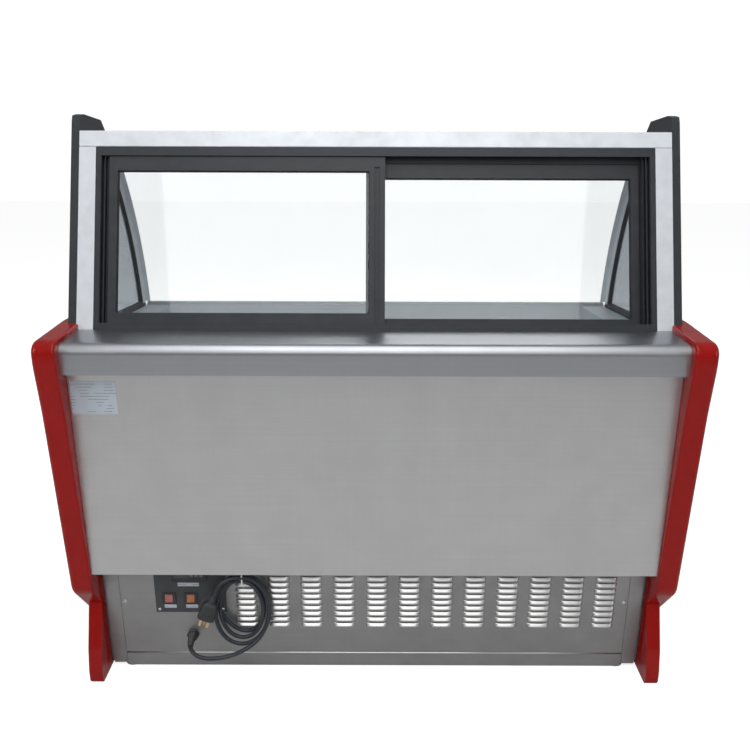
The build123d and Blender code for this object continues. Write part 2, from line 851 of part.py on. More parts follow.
fan_bore = 62.0
fan_y = evaporator_y + coil_deep / 2 + 46
fan_x = coil_half * 0.5
fan_z = coil_floor + 74
shaft_radius = 3.0
shaft_gap = 0.05
with BuildPart() as evaporator_fan_plate:
    with BuildSketch(Plane.XZ.offset(-fan_y)):
        with Locations((0, coil_floor + 74)):
            Rectangle(2 * coil_half, 148)
        with Locations((-fan_x, fan_z), (fan_x, fan_z)):
            Circle(fan_bore, mode=Mode.SUBTRACT)
    extrude(amount=-2)
    for side in (-1, 1):
        with BuildSketch(Plane.XZ.offset(-fan_y - 2)):
            with Locations((side * fan_x, fan_z)):
                Rectangle(2 * fan_bore + 16, 8)
                Rectangle(8, 2 * fan_bore + 10)
                Circle(shaft_radius + shaft_gap, mode=Mode.SUBTRACT)
        extrude(amount=-3)
    with BuildSketch(Plane.XY.offset(coil_floor)):
        with Locations((0, fan_y + 12)):
            Rectangle(2 * coil_half, 24)
    extrude(amount=2)
evaporator_fan_plate.part.label = "evaporator_fan_plate"
export_step(evaporator_fan_plate.part, "parts/evaporator_fan_plate.step")

motor_radius = 24.0


def fan_rotor(x, y, z, blade_radius, blades, towards, shaft_long):
    """Bladed fan on its shaft, standing off its motor along Y."""
    with BuildSketch(Plane.XZ.offset(-y)) as hub:
        with Locations((x, z)):
            Circle(blade_radius * 0.3)
    extrude(hub.sketch, amount=-towards * 18)
    with BuildSketch(Plane.XZ.offset(-y)) as shaft:
        with Locations((x, z)):
            Circle(shaft_radius)
    extrude(shaft.sketch, amount=towards * shaft_long)
    for blade in range(blades):
        turn = blade * 360 / blades
        blade_plane = Plane(
            origin=(x, y + towards * 9, z),
            x_dir=(cos(radians(turn)), 0, sin(radians(turn))),
            z_dir=(
                -sin(radians(turn)) * sin(radians(35)),
                cos(radians(35)),
                cos(radians(turn)) * sin(radians(35)),
            ),
        )
        with BuildSketch(blade_plane) as vane:
            with Locations((blade_radius * 0.6, 0)):
                Rectangle(blade_radius * 0.76, blade_radius * 0.5)
        extrude(vane.sketch, amount=0.9, both=True)


for side, name in ((-1, "left"), (1, "right")):
    with BuildPart() as evaporator_fan:
        fan_rotor(side * fan_x, fan_y - 12, fan_z, fan_bore - 6, 5, -1, 27)
    evaporator_fan.part.label = f"evaporator_fan_{name}"
    export_step(evaporator_fan.part, f"parts/evaporator_fan_{name}.step")

# ---- condensing unit on the machine tray
tray_top = tray_floor + sheet
condenser_x = -60.0
condenser_half = 150.0
condenser_tall = 200.0
condenser_deep = 60.0
condenser_y = base_front - 120.0
condenser_rear = condenser_y - condenser_deep / 2
with BuildPart() as condenser:
    for side in (-1, 1):
        with Locations(
            (condenser_x + side * condenser_half, condenser_y, tray_top + condenser_tall / 2)
        ):
            Box(2, condenser_deep, condenser_tall)
    for row in range(6):
        for column in range(2):
            with BuildSketch(Plane.YZ.offset(condenser_x - condenser_half - 10)):
                with Locations((condenser_y - 14 + 28 * column, tray_top + 22 + 31 * row)):
                    Circle(4.8)
            extrude(amount=2 * condenser_half + 20)
    with Locations((condenser_x, condenser_y, tray_top + condenser_tall / 2)):
        with GridLocations(2 * condenser_half / 21, 1, 20, 1):
            Box(1.2, condenser_deep - 6, condenser_tall - 10)
condenser.part.label = "condenser"
export_step(condenser.part, "parts/condenser.step")

shroud_deep = 36.0
shroud_rear = condenser_rear - shroud_deep
shroud_tall = 196.0
big_fan_bore = 92.0
big_fan_z = tray_top + shroud_tall / 2
with BuildPart() as condenser_shroud:
    with BuildSketch(Plane.XZ.offset(-shroud_rear)):
        with Locations((condenser_x, big_fan_z)):
            Rectangle(2 * condenser_half - 4, shroud_tall)
    extrude(amount=-shroud_deep)
    with BuildSketch(Plane.XZ.offset(-shroud_rear - sheet)):
        with Locations((condenser_x, big_fan_z)):
            Rectangle(2 * condenser_half - 4 - 2 * sheet, shroud_tall - 2 * sheet)
    extrude(amount=-shroud_deep, mode=Mode.SUBTRACT)
    with BuildSketch(Plane.XZ.offset(-shroud_rear)):
        with Locations((condenser_x, big_fan_z)):
            Circle(big_fan_bore)
    extrude(amount=-sheet, mode=Mode.SUBTRACT)
    with BuildSketch(Plane.XZ.offset(-shroud_rear)):
        with Locations((condenser_x, big_fan_z)):
            Rectangle(2 * big_fan_bore + 20, 12)
            Rectangle(12, shroud_tall)
            Circle(shaft_radius + shaft_gap, mode=Mode.SUBTRACT)
    extrude(amount=3)
condenser_shroud.part.label = "condenser_shroud"
export_step(condenser_shroud.part, "parts/condenser_shroud.step")

with BuildPart() as condenser_fan:
    fan_rotor(condenser_x, shroud_rear + 8, big_fan_z, big_fan_bore - 6, 5, 1, 22)
condenser_fan.part.label = "condenser_fan"
export_step(condenser_fan.part, "parts/condenser_fan.step")

big_motor_radius = 36.0
with BuildPart() as fan_motors:
    with BuildSketch(Plane.XZ.offset(-fan_y - 5)):
        with Locations((-fan_x, fan_z), (fan_x, fan_z)):
            Circle(motor_radius)
    extrude(amount=-30)
    with BuildSketch(Plane.XZ.offset(-fan_y - 5)):
        with Locations((-fan_x, fan_z), (fan_x, fan_z)):
            Circle(shaft_radius + shaft_gap)
    extrude(amount=-11, mode=Mode.SUBTRACT)
    with BuildSketch(Plane.XZ.offset(-shroud_rear + 3)):
        with Locations((condenser_x, big_fan_z)):
            Circle(big_motor_radius)
    extrude(amount=45)
    with BuildSketch(Plane.XZ.offset(-shroud_rear + 3)):
        with Locations((condenser_x, big_fan_z)):
            Circle(shaft_radius + shaft_gap)
    extrude(amount=12, mode=Mode.SUBTRACT)
fan_motors.part.label = "fan_motors"
export_step(fan_motors.part, "parts/fan_motors.step")

compressor_x = 270.0
compressor_y = base_mid - 20
grommet_tall = 18.0
leg_z = tray_top + grommet_tall
can_radius = 74.0
can_tall = 150.0
stub_z = leg_z + 118
with BuildPart() as compressor:
    with BuildSketch(Plane.XY.offset(leg_z)):
        with Locations((compressor_x, compressor_y)):
            RectangleRounded(200, 130, 16)
    extrude(amount=3)
    with BuildSketch(Plane.XY.offset(leg_z + 3)):
        with Locations((compressor_x, compressor_y)):
            Circle(can_radius)
    extrude(amount=can_tall)
    fillet(compressor.edges().filter_by(GeomType.CIRCLE).group_by(Axis.Z)[-1], 34)
    for angle in (150, 210):
        spot = Pos(
            compressor_x + (can_radius - 6) * cos(radians(angle)),
            compressor_y + (can_radius - 6) * sin(radians(angle)),
            stub_z - (30 if angle == 210 else 0),
        )
        add(spot * Rot(0, -90, 0) * Cylinder(7, 36, mode=Mode.PRIVATE))
    with Locations((compressor_x + can_radius, compressor_y, leg_z + 80)):
        Box(26, 60, 50)
compressor.part.label = "compressor"
export_step(compressor.part, "parts/compressor.step")

with BuildPart() as compressor_grommets:
    with BuildSketch(Plane.XY.offset(tray_top)):
        with Locations((compressor_x, compressor_y)):
            with GridLocations(168, 98, 2, 2):
                Circle(12)
    extrude(amount=grommet_tall)
compressor_grommets.part.label = "compressor_grommets"
export_step(compressor_grommets.part, "parts/compressor_grommets.step")

stub_x = compressor_x + (can_radius - 6) * cos(radians(150)) - 18
stub_y_high = compressor_y + (can_radius - 6) * sin(radians(150))
stub_y_low = compressor_y + (can_radius - 6) * sin(radians(210))
drier_y = condenser_y + 14
drier_x = condenser_x - condenser_half - 150
drier_z = tray_top + 22
pipe_radius = 5.0
bend = 16.0
drier_long = 90.0
with BuildPart() as filter_drier:
    with BuildSketch(Plane.YZ.offset(drier_x)):
        with Locations((drier_y, drier_z)):
            Circle(11)
    extrude(amount=drier_long)
    fillet(filter_drier.edges().filter_by(GeomType.CIRCLE), 5)
filter_drier.part.label = "filter_drier"
export_step(filter_drier.part, "parts/filter_drier.step")

evaporator_in_z = coil_floor + 60
pipe_routes = [
    [
        (stub_x, stub_y_high, stub_z),
        (stub_x - 40, stub_y_high, stub_z),
        (stub_x - 40, condenser_y - 14, stub_z),
        (stub_x - 40, condenser_y - 14, tray_top + 22 + 155),
        (condenser_x + condenser_half + 10, condenser_y - 14, tray_top + 22 + 155),
    ],
    [
        (condenser_x - condenser_half - 10, drier_y, drier_z),
        (drier_x + drier_long, drier_y, drier_z),
    ],
    [
        (stub_x, stub_y_low, stub_z - 30),
        (stub_x - 30, stub_y_low, stub_z - 30),
        (stub_x - 30, stub_y_low, belly_z - 34),
        (riser_x, stub_y_low, belly_z - 34),
        (riser_x, riser_y, belly_z - 34),
        (riser_x, riser_y, evaporator_in_z),
        (coil_half + 12, riser_y, evaporator_in_z),
    ],
]
with BuildPart() as refrigerant_pipes:
    for route in pipe_routes:
        with BuildLine() as pipe_path:
            if len(route) > 2:
                FilletPolyline(*route, radius=bend)
            else:
                Line(*route)
        with BuildSketch(Plane(origin=route[0], z_dir=Vector(*route[1]) - Vector(*route[0]))):
            Circle(pipe_radius)
        sweep(path=pipe_path.wire())
refrigerant_pipes.part.label = "refrigerant_pipes"
export_step(refrigerant_pipes.part, "parts/refrigerant_pipes.step")

# ---- control plate, controller and rocker switches
switch_z = plate_low + 37
switch_x = [plate_left + 31, plate_left + 80]
controller_x = plate_left + plate_wide / 2
controller_z = plate_high - 21.5
body_gap = 0.2
button_x = [controller_x + 6, controller_x + 17, controller_x + 28]
button_wide = 7.0
button_tall = 6.0
button_gap = 0.25
lens_wide = 34.0
lens_tall = 15.0
lens_x = controller_x - 17
plate_face = base_rear - plate_thick
bezel = 2.5
controller_bezel = 4.0

with BuildPart() as control_plate:
    with BuildSketch(Plane.XZ.offset(-base_rear)):
        with Locations((plate_left + plate_wide / 2, (plate_low + plate_high) / 2)):
            Rectangle(plate_wide, plate_high - plate_low)
        with Locations(*[(x, switch_z) for x in switch_x]):
            Rectangle(26 + body_gap, 23 + body_gap, mode=Mode.SUBTRACT)
        with Locations((controller_x, controller_z)):
            Rectangle(70 + body_gap, 26 + body_gap, mode=Mode.SUBTRACT)
    extrude(amount=plate_thick)
control_plate.part.label = "control_plate"
export_step(control_plate.part, "parts/control_plate.step")

with BuildPart() as controller:
    with BuildSketch(Plane.XZ.offset(-plate_face)):
        with Locations((controller_x, controller_z)):
            RectangleRounded(77, 34, 2)
    extrude(amount=controller_bezel)
    with BuildSketch(Plane.XZ.offset(-plate_face)):
        with Locations((controller_x, controller_z)):
            Rectangle(70, 26)
    extrude(amount=-52)
    with BuildSketch(Plane.XZ.offset(-plate_face + controller_bezel - 1)):
        with Locations((lens_x, controller_z)):
            Rectangle(lens_wide, lens_tall)
    extrude(amount=1, mode=Mode.SUBTRACT)
    with BuildSketch(Plane.XZ.offset(-plate_face + controller_bezel)):
        with Locations(*[(x, controller_z) for x in button_x]):
            Rectangle(
                button_wide + 2 * button_gap, button_tall + 2 * button_gap
            )
    extrude(amount=-7, mode=Mode.SUBTRACT)
controller.part.label = "controller"
export_step(controller.part, "parts/controller.step")

with BuildPart() as controller_lens:
    with BuildSketch(Plane.XZ.offset(-plate_face + controller_bezel - 1)):
        with Locations((lens_x, controller_z)):
            Rectangle(lens_wide, lens_tall)
    extrude(amount=1)
controller_lens.part.label = "controller_lens"
export_step(controller_lens.part, "parts/controller_lens.step")

for x, name in zip(button_x, ("set", "down", "up")):
    with BuildPart() as button:
        with BuildSketch(Plane.XZ.offset(-plate_face + controller_bezel + 1.2)):
            with Locations((x, controller_z)):
                Rectangle(button_wide, button_tall)
        extrude(amount=-6)
    button.part.label = f"{name}_button"
    export_step(button.part, f"parts/{name}_button.step")

pivot_y = base_rear + 1.0
lens_across = 17.0  # rocker width
pin_radius = 1.5
tilt = 7.0
with BuildPart() as switch_housings:
    with BuildSketch(Plane.XZ.offset(-plate_face)):
        with Locations(*[(x, switch_z) for x in switch_x]):
            RectangleRounded(31, 27, 2)
    extrude(amount=bezel)
    with BuildSketch(Plane.XZ.offset(-plate_face)):
        with Locations(*[(x, switch_z) for x in switch_x]):
            Rectangle(26, 23)
    extrude(amount=-26)
    with BuildSketch(Plane.XZ.offset(-plate_face + bezel)):
        with Locations(*[(x, switch_z) for x in switch_x]):
            Rectangle(lens_across + 0.8, 21.4)
    extrude(amount=-12, mode=Mode.SUBTRACT)
    for x in switch_x:
        with BuildSketch(Plane.YZ.offset(x - 13)):
            with Locations((pivot_y, switch_z)):
                Circle(pin_radius + shaft_gap)
        extrude(amount=26, mode=Mode.SUBTRACT)
switch_housings.part.label = "switch_housings"
export_step(switch_housings.part, "parts/switch_housings.step")

for x, name in zip(switch_x, ("power", "light")):
    rocker_plane = Plane(
        origin=(x - lens_across / 2, pivot_y, switch_z),
        x_dir=(0, -cos(radians(tilt)), sin(radians(tilt))),
        z_dir=(1, 0, 0),
    )
    with BuildPart() as rocker:
        with BuildSketch(rocker_plane):
            with BuildLine():
                Polyline(
                    (4.2, 0),
                    (6.6, 9.3),
                    (-3.0, 8.6),
                    (-5.0, 0),
                    (-3.0, -8.6),
                    (6.6, -9.3),
                    close=True,
                )
            make_face()
        extrude(amount=lens_across)
        with BuildSketch(Plane.YZ.offset(x - 12.5)):
            with Locations((pivot_y, switch_z)):
                Circle(pin_radius)
        extrude(amount=25)
    rocker.part.label = f"{name}_rocker"
    export_step(rocker.part, f"parts/{name}_rocker.step")

# ---- blank label plates and screws
label_thick = 0.6
with BuildPart() as label_plates:
    with BuildSketch(Plane.XZ.offset(-plate_face)):
        with Locations(*[(x + 2, switch_z - 21) for x in switch_x]):
            RectangleRounded(27, 8.5, 1)
        with Locations((controller_x - 3, switch_z + 36)):
            RectangleRounded(48, 9, 1)
    extrude(amount=label_thick)
    with BuildSketch(Plane.XZ.offset(-(rear + panel_setback))):
        with Locations((-(body_half - 50), rear_panel_top - 58.4)):
            RectangleRounded(92, 70, 2)
    extrude(amount=label_thick)
label_plates.part.label = "label_plates"
export_step(label_plates.part, "parts/label_plates.step")

screw_radius = 4.5
edge_x = panel_half - 8
with BuildPart() as screws:
    with BuildSketch(Plane.XZ.offset(-base_rear)):
        with Locations(*[(s * edge_x, 176) for s in (-1, 1)]):
            Circle(screw_radius)
    extrude(amount=2.4)
    with BuildSketch(Plane.XZ.offset(-plate_face)):
        with Locations(
            *[
                (plate_left + plate_wide / 2 + s * (plate_wide / 2 - 8), z)
                for s in (-1, 1)
                for z in (plate_low + 8, plate_high - 8)
            ]
        ):
            Circle(screw_radius - 1)
    extrude(amount=2.0)
    fillet(screws.edges().group_by(Axis.Y)[0], 0.8)
screws.part.label = "screws"
export_step(screws.part, "parts/screws.step")

# ---- supply cord: gland, free stretches, hanging coil, tie and plug
cord_radius = 4.75
gland_reach = 20.0
with BuildPart() as cord_gland:
    with BuildSketch(Plane.XZ.offset(-base_rear)):
        with Locations((gland_x, gland_z)):
            RegularPolygon(14, 6)
    extrude(amount=7)
    with BuildSketch(Plane.XZ.offset(-base_rear + 7)):
        with Locations((gland_x, gland_z)):
            Circle(10.5)
    extrude(amount=gland_reach - 7, taper=14)
    with BuildSketch(Plane.XZ.offset(-base_rear)):
        with Locations((gland_x, gland_z)):
            Circle(gland_bore - 0.1)
    extrude(amount=-16)
cord_gland.part.label = "cord_gland"
export_step(cord_gland.part, "parts/cord_gland.step")

coil_x = gland_x + 120.0
coil_z = 174.0
coil_lift = 8.0  # the inside of the turns sits higher: they fan out below
coil_face = base_rear - 36.0
coil_thick = 24.0
with BuildPart() as cord_coil:
    with BuildSketch(Plane.XZ.offset(-coil_face - coil_thick)):
        with Locations((coil_x, coil_z)):
            Ellipse(68, 93)
        with Locations((coil_x, coil_z + coil_lift)):
            Ellipse(45, 61, mode=Mode.SUBTRACT)
    extrude(amount=coil_thick)
    fillet(cord_coil.edges(), 5)
cord_coil.part.label = "cord_coil"
export_step(cord_coil.part, "parts/cord_coil.step")

gland_route = [
    (gland_x, base_rear - gland_reach, gland_z),
    (gland_x, base_rear - 40, gland_z - 1),
    (gland_x + 8, base_rear - 57, gland_z - 6),
    (gland_x + 26, base_rear - 67, gland_z - 13),
    (gland_x + 56, base_rear - 66, gland_z - 18),
    (gland_x + 102, base_rear - 57, gland_z - 15),
    (gland_x + 144, base_rear - 44, gland_z + 3),
    (gland_x + 167, base_rear - 31, gland_z + 37),
    (gland_x + 175, base_rear - 26, gland_z + 77),
]
plug_angle = 20.4
plug_root = (gland_x + 65, base_rear - 53, 225.0)
plug_route = [
    plug_root,
    (gland_x + 72.4, base_rear - 52, 245),
    (gland_x + 88, base_rear - 46, 259),
    (gland_x + 110, base_rear - 38, 263),
    (gland_x + 126, base_rear - 28, 256),
]


plug_down = (-sin(radians(plug_angle)), 0, -cos(radians(plug_angle)))
plug_plane = Plane(origin=plug_root, x_dir=(0, 1, 0), z_dir=plug_down)
plug_neck = 17.0
plug_long = 44.0
with BuildPart() as plug_body:
    with BuildSketch(plug_plane):
        Circle(cord_radius + 1.2)
    with BuildSketch(plug_plane.offset(plug_neck)):
        Circle(cord_radius + 4)
    loft()
    with BuildSketch(plug_plane.offset(plug_neck)):
        RectangleRounded(24, 34, 9)
    with BuildSketch(plug_plane.offset(plug_neck + plug_long)):
        RectangleRounded(26, 40, 9)
    loft()
plug_body.part.label = "plug_body"
export_step(plug_body.part, "parts/plug_body.step")


def bend_radii(route):
    """Radius at each corner: 0.45 of the shorter run over the tangent of half the turn."""
    points = [Vector(*point) for point in route]
    radii = []
    for before, corner, after in zip(points, points[1:], points[2:]):
        arriving = corner - before
        leaving = after - corner
        half_turn = radians(arriving.get_angle(leaving)) / 2
        radii.append(0.45 * min(arriving.length, leaving.length) / tan(half_turn))
    return radii


with BuildPart() as power_cord:
    for route in (gland_route, plug_route):
        radii = bend_radii(route)
        with BuildLine() as cord_path:
            FilletPolyline(*route, radius=radii)
        with BuildSketch(Plane(origin=route[0], z_dir=Vector(*route[1]) - Vector(*route[0]))):
            Circle(cord_radius)
        sweep(path=cord_path.wire())
        print("cord radii", [round(r, 1) for r in radii], "run", round(cord_path.wire().length, 1))
    print("tube volume over section times length", round(power_cord.part.volume, 1))
    for neighbour in (cord_coil, cord_gland, plug_body):
        add(neighbour.part, mode=Mode.SUBTRACT)
power_cord.part.label = "power_cord"
export_step(power_cord.part, "parts/power_cord.step")

tie_x = coil_x + 5
tie_thick = 1.4
tie_wide = 3.0
bundle_low = coil_z + coil_lift + 61 - 1.0
bundle_high = coil_z + 93 + 0.6
with BuildPart() as cable_tie:
    with BuildSketch(Plane.YZ.offset(tie_x - tie_wide / 2)):
        with Locations((coil_face + coil_thick / 2, (bundle_low + bundle_high) / 2)):
            bundle = bundle_high - bundle_low
            RectangleRounded(coil_thick + 1.2 + 2 * tie_thick, bundle + 2 * tie_thick, 3)
            RectangleRounded(coil_thick + 1.2, bundle, 2, mode=Mode.SUBTRACT)
        with Locations((coil_face + coil_thick / 2, (bundle_high + 0.7 + belly_z) / 2)):
            Rectangle(tie_thick, belly_z - bundle_high - 0.7)
    extrude(amount=tie_wide)
cable_tie.part.label = "cable_tie"
export_step(cable_tie.part, "parts/cable_tie.step")

with BuildPart() as plug_blades:
    with BuildSketch(plug_plane.offset(plug_neck + plug_long)):
        with Locations((-4, -8)):
            Rectangle(1.6, 6.4, rotation=30)
        with Locations((-4, 8)):
            Rectangle(1.6, 6.4, rotation=-30)
        with Locations((6, 0)):
            Rectangle(6.4, 1.6)
    extrude(amount=20)
plug_blades.part.label = "plug_blades"
export_step(plug_blades.part, "parts/plug_blades.step")
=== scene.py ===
import bpy
import bmesh
import math
from mathutils import Matrix, Vector


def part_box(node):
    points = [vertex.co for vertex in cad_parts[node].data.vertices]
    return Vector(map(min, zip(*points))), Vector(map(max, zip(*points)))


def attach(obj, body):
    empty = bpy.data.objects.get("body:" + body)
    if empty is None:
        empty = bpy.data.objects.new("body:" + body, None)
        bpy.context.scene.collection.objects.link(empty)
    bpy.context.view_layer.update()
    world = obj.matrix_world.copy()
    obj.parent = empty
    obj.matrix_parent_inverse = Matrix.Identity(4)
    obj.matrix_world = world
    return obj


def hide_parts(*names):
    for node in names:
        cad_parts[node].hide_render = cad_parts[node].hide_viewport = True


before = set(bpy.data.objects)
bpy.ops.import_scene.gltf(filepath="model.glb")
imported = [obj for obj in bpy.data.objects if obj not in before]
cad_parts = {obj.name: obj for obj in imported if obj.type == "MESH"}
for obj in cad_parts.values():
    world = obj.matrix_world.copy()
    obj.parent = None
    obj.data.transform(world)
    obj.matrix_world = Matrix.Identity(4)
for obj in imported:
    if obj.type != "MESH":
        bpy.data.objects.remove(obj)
scene = bpy.context.scene
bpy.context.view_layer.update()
print("frame loaded:", len(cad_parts), "nodes")

# ---------- camera, as a person standing behind the counter sees it

viewSetup = {
    "place": (0.0, -1.864, 1.248),
    "tilt": 71.3,
    "roll": 0.17,
    "lens": 38.64,
}

cameraData = bpy.data.cameras.new("staffCamera")
cameraData.lens = viewSetup["lens"]
cameraData.sensor_width = 36
cameraData.clip_start = 0.02
camera = bpy.data.objects.new("staffCamera", cameraData)
scene.collection.objects.link(camera)
turn = Matrix.Rotation(math.radians(viewSetup["tilt"]), 4, "X")
turn = turn @ Matrix.Rotation(math.radians(viewSetup["roll"]), 4, "Z")
camera.matrix_world = Matrix.Translation(viewSetup["place"]) @ turn
scene.camera = camera


# ---------- small helpers

def addPiece(name, mesh, smooth=True):
    piece = bpy.data.objects.new(name, mesh)
    scene.collection.objects.link(piece)
    if smooth:
        for face in mesh.polygons:
            face.use_smooth = True
    return piece


def meshFromBm(name, bm, recalculate=True):
    if recalculate:
        bmesh.ops.recalc_face_normals(bm, faces=bm.faces)
    mesh = bpy.data.meshes.new(name)
    bm.to_mesh(mesh)
    bm.free()
    return mesh


def bakeModifiers(piece):
    # the evaluated shape becomes the piece's own plain mesh
    depsgraph = bpy.context.evaluated_depsgraph_get()
    mesh = bpy.data.meshes.new_from_object(piece.evaluated_get(depsgraph))
    piece.modifiers.clear()
    piece.data = mesh
    return piece


def sweepSections(name, sections, capped=True):
    # sections: rings of points, all the same count, joined one to the next
    bm = bmesh.new()
    rings = [[bm.verts.new(point) for point in ring] for ring in sections]
    count = len(rings[0])
    for low, high in zip(rings, rings[1:]):
        for k in range(count):
            bm.faces.new((low[k], low[(k + 1) % count], high[(k + 1) % count], high[k]))
    if capped:
        bm.faces.new(rings[0])
        bm.faces.new(rings[-1])
    return meshFromBm(name, bm)


# ---------- shader groups: they put out masks, values and heights only

def startGroup(name, inputs, outputs):
    group = bpy.data.node_groups.new(name, "ShaderNodeTree")
    for label, kind, value in inputs:
        socket = group.interface.new_socket(name=label, in_out="INPUT", socket_type=kind)
        if value is not None:
            socket.default_value = value
    for label, kind in outputs:
        group.interface.new_socket(name=label, in_out="OUTPUT", socket_type=kind)
    return group, group.nodes.new("NodeGroupInput"), group.nodes.new("NodeGroupOutput")


def mathNode(tree, operation, first, second=None, clamp=False):
    node = tree.nodes.new("ShaderNodeMath")
    node.operation = operation
    node.use_clamp = clamp
    for socket, value in zip(node.inputs, (first, second)):
        if isinstance(value, (int, float)):
            socket.default_value = value
        elif value is not None:
            tree.links.new(value, socket)
    return node.outputs[0]


def noiseNode(tree, vector, scale, detail=4.0, roughness=0.55):
    node = tree.nodes.new("ShaderNodeTexNoise")
    node.inputs["Detail"].default_value = detail
    node.inputs["Roughness"].default_value = roughness
    if isinstance(scale, (int, float)):
        node.inputs["Scale"].default_value = scale
    else:
        tree.links.new(scale, node.inputs["Scale"])
    tree.links.new(vector, node.inputs["Vector"])
    return node.outputs["Fac"]


def makeBrushedGrain():
    # long fine scratches along X, with a fainter cross hatch
    group, inside, outside = startGroup(
        "brushedGrain",
        [("Vector", "NodeSocketVector", None), ("Stretch", "NodeSocketFloat", 3.0),
         ("Fineness", "NodeSocketFloat", 700.0), ("Hatch", "NodeSocketFloat", 0.25)],
        [("Shade", "NodeSocketFloat"), ("Height", "NodeSocketFloat")],
    )
    links = group.links
    parts = group.nodes.new("ShaderNodeSeparateXYZ")
    links.new(inside.outputs["Vector"], parts.inputs[0])
    along = group.nodes.new("ShaderNodeCombineXYZ")
    across = group.nodes.new("ShaderNodeCombineXYZ")
    for target, order in ((along, (1, 0, 0)), (across, (0, 1, 1))):
        for index, axis in enumerate(("X", "Y", "Z")):
            chosen = "Stretch" if order[index] else "Fineness"
            factor = mathNode(group, "MULTIPLY", parts.outputs[axis], inside.outputs[chosen])
            links.new(factor, target.inputs[axis])
    long = noiseNode(group, along.outputs[0], 1.0, 3.0, 0.6)
    hatch = noiseNode(group, across.outputs[0], 0.6, 2.0, 0.5)
    weighted = mathNode(group, "MULTIPLY", hatch, inside.outputs["Hatch"])
    total = mathNode(group, "ADD", long, weighted)
    scale = mathNode(group, "ADD", inside.outputs["Hatch"], 1.0)
    shade = mathNode(group, "DIVIDE", total, scale)
    links.new(shade, outside.inputs["Shade"])
    links.new(shade, outside.inputs["Height"])
    return group


def makeSmudges():
    # broad soft patches of handling and old wiping
    group, inside, outside = startGroup(
        "smudges",
        [("Vector", "NodeSocketVector", None), ("Size", "NodeSocketFloat", 6.0),
         ("Amount", "NodeSocketFloat", 0.5)],
        [("Mask", "NodeSocketFloat")],
    )
    broad = noiseNode(group, inside.outputs["Vector"], inside.outputs["Size"], 5.0, 0.6)
    tripled = mathNode(group, "MULTIPLY", inside.outputs["Size"], 4.3)
    small = noiseNode(group, inside.outputs["Vector"], tripled, 3.0, 0.5)
    mixed = mathNode(group, "MULTIPLY", broad, small)
    lifted = mathNode(group, "SUBTRACT", mathNode(group, "MULTIPLY", mixed, 4.4), 0.62, True)
    mask = mathNode(group, "MULTIPLY", lifted, inside.outputs["Amount"], True)
    group.links.new(mask, outside.inputs["Mask"])
    return group


def makeSurfaceGrit():
    # powder coat, moulded plastic and rubber texture
    group, inside, outside = startGroup(
        "surfaceGrit",
        [("Vector", "NodeSocketVector", None), ("Fineness", "NodeSocketFloat", 900.0)],
        [("Height", "NodeSocketFloat"), ("Speckle", "NodeSocketFloat")],
    )
    cells = group.nodes.new("ShaderNodeTexVoronoi")
    cells.feature = "SMOOTH_F1"
    group.links.new(inside.outputs["Vector"], cells.inputs["Vector"])
    group.links.new(inside.outputs["Fineness"], cells.inputs["Scale"])
    soft = noiseNode(group, inside.outputs["Vector"], inside.outputs["Fineness"], 2.0, 0.5)
    height = mathNode(group, "ADD", mathNode(group, "MULTIPLY", cells.outputs["Distance"], 0.6), soft)
    group.links.new(height, outside.inputs["Height"])
    group.links.new(soft, outside.inputs["Speckle"])
    return group


def makeSettledDust():
    # thin dust on faces that look upwards, broken up by noise
    group, inside, outside = startGroup(
        "settledDust",
        [("Vector", "NodeSocketVector", None), ("Amount", "NodeSocketFloat", 0.3)],
        [("Mask", "NodeSocketFloat")],
    )
    surface = group.nodes.new("ShaderNodeNewGeometry")
    parts = group.nodes.new("ShaderNodeSeparateXYZ")
    group.links.new(surface.outputs["Normal"], parts.inputs[0])
    upward = mathNode(group, "SUBTRACT", parts.outputs["Z"], 0.35, True)
    cloudy = noiseNode(group, inside.outputs["Vector"], 18.0, 6.0, 0.65)
    lying = mathNode(group, "MULTIPLY", upward, cloudy)
    mask = mathNode(group, "MULTIPLY", lying, inside.outputs["Amount"])
    group.links.new(mathNode(group, "MULTIPLY", mask, 2.0, True), outside.inputs["Mask"])
    return group


brushedGrain = makeBrushedGrain()
smudges = makeSmudges()
surfaceGrit = makeSurfaceGrit()
settledDust = makeSettledDust()
print("shader groups made")


# ---------- materials

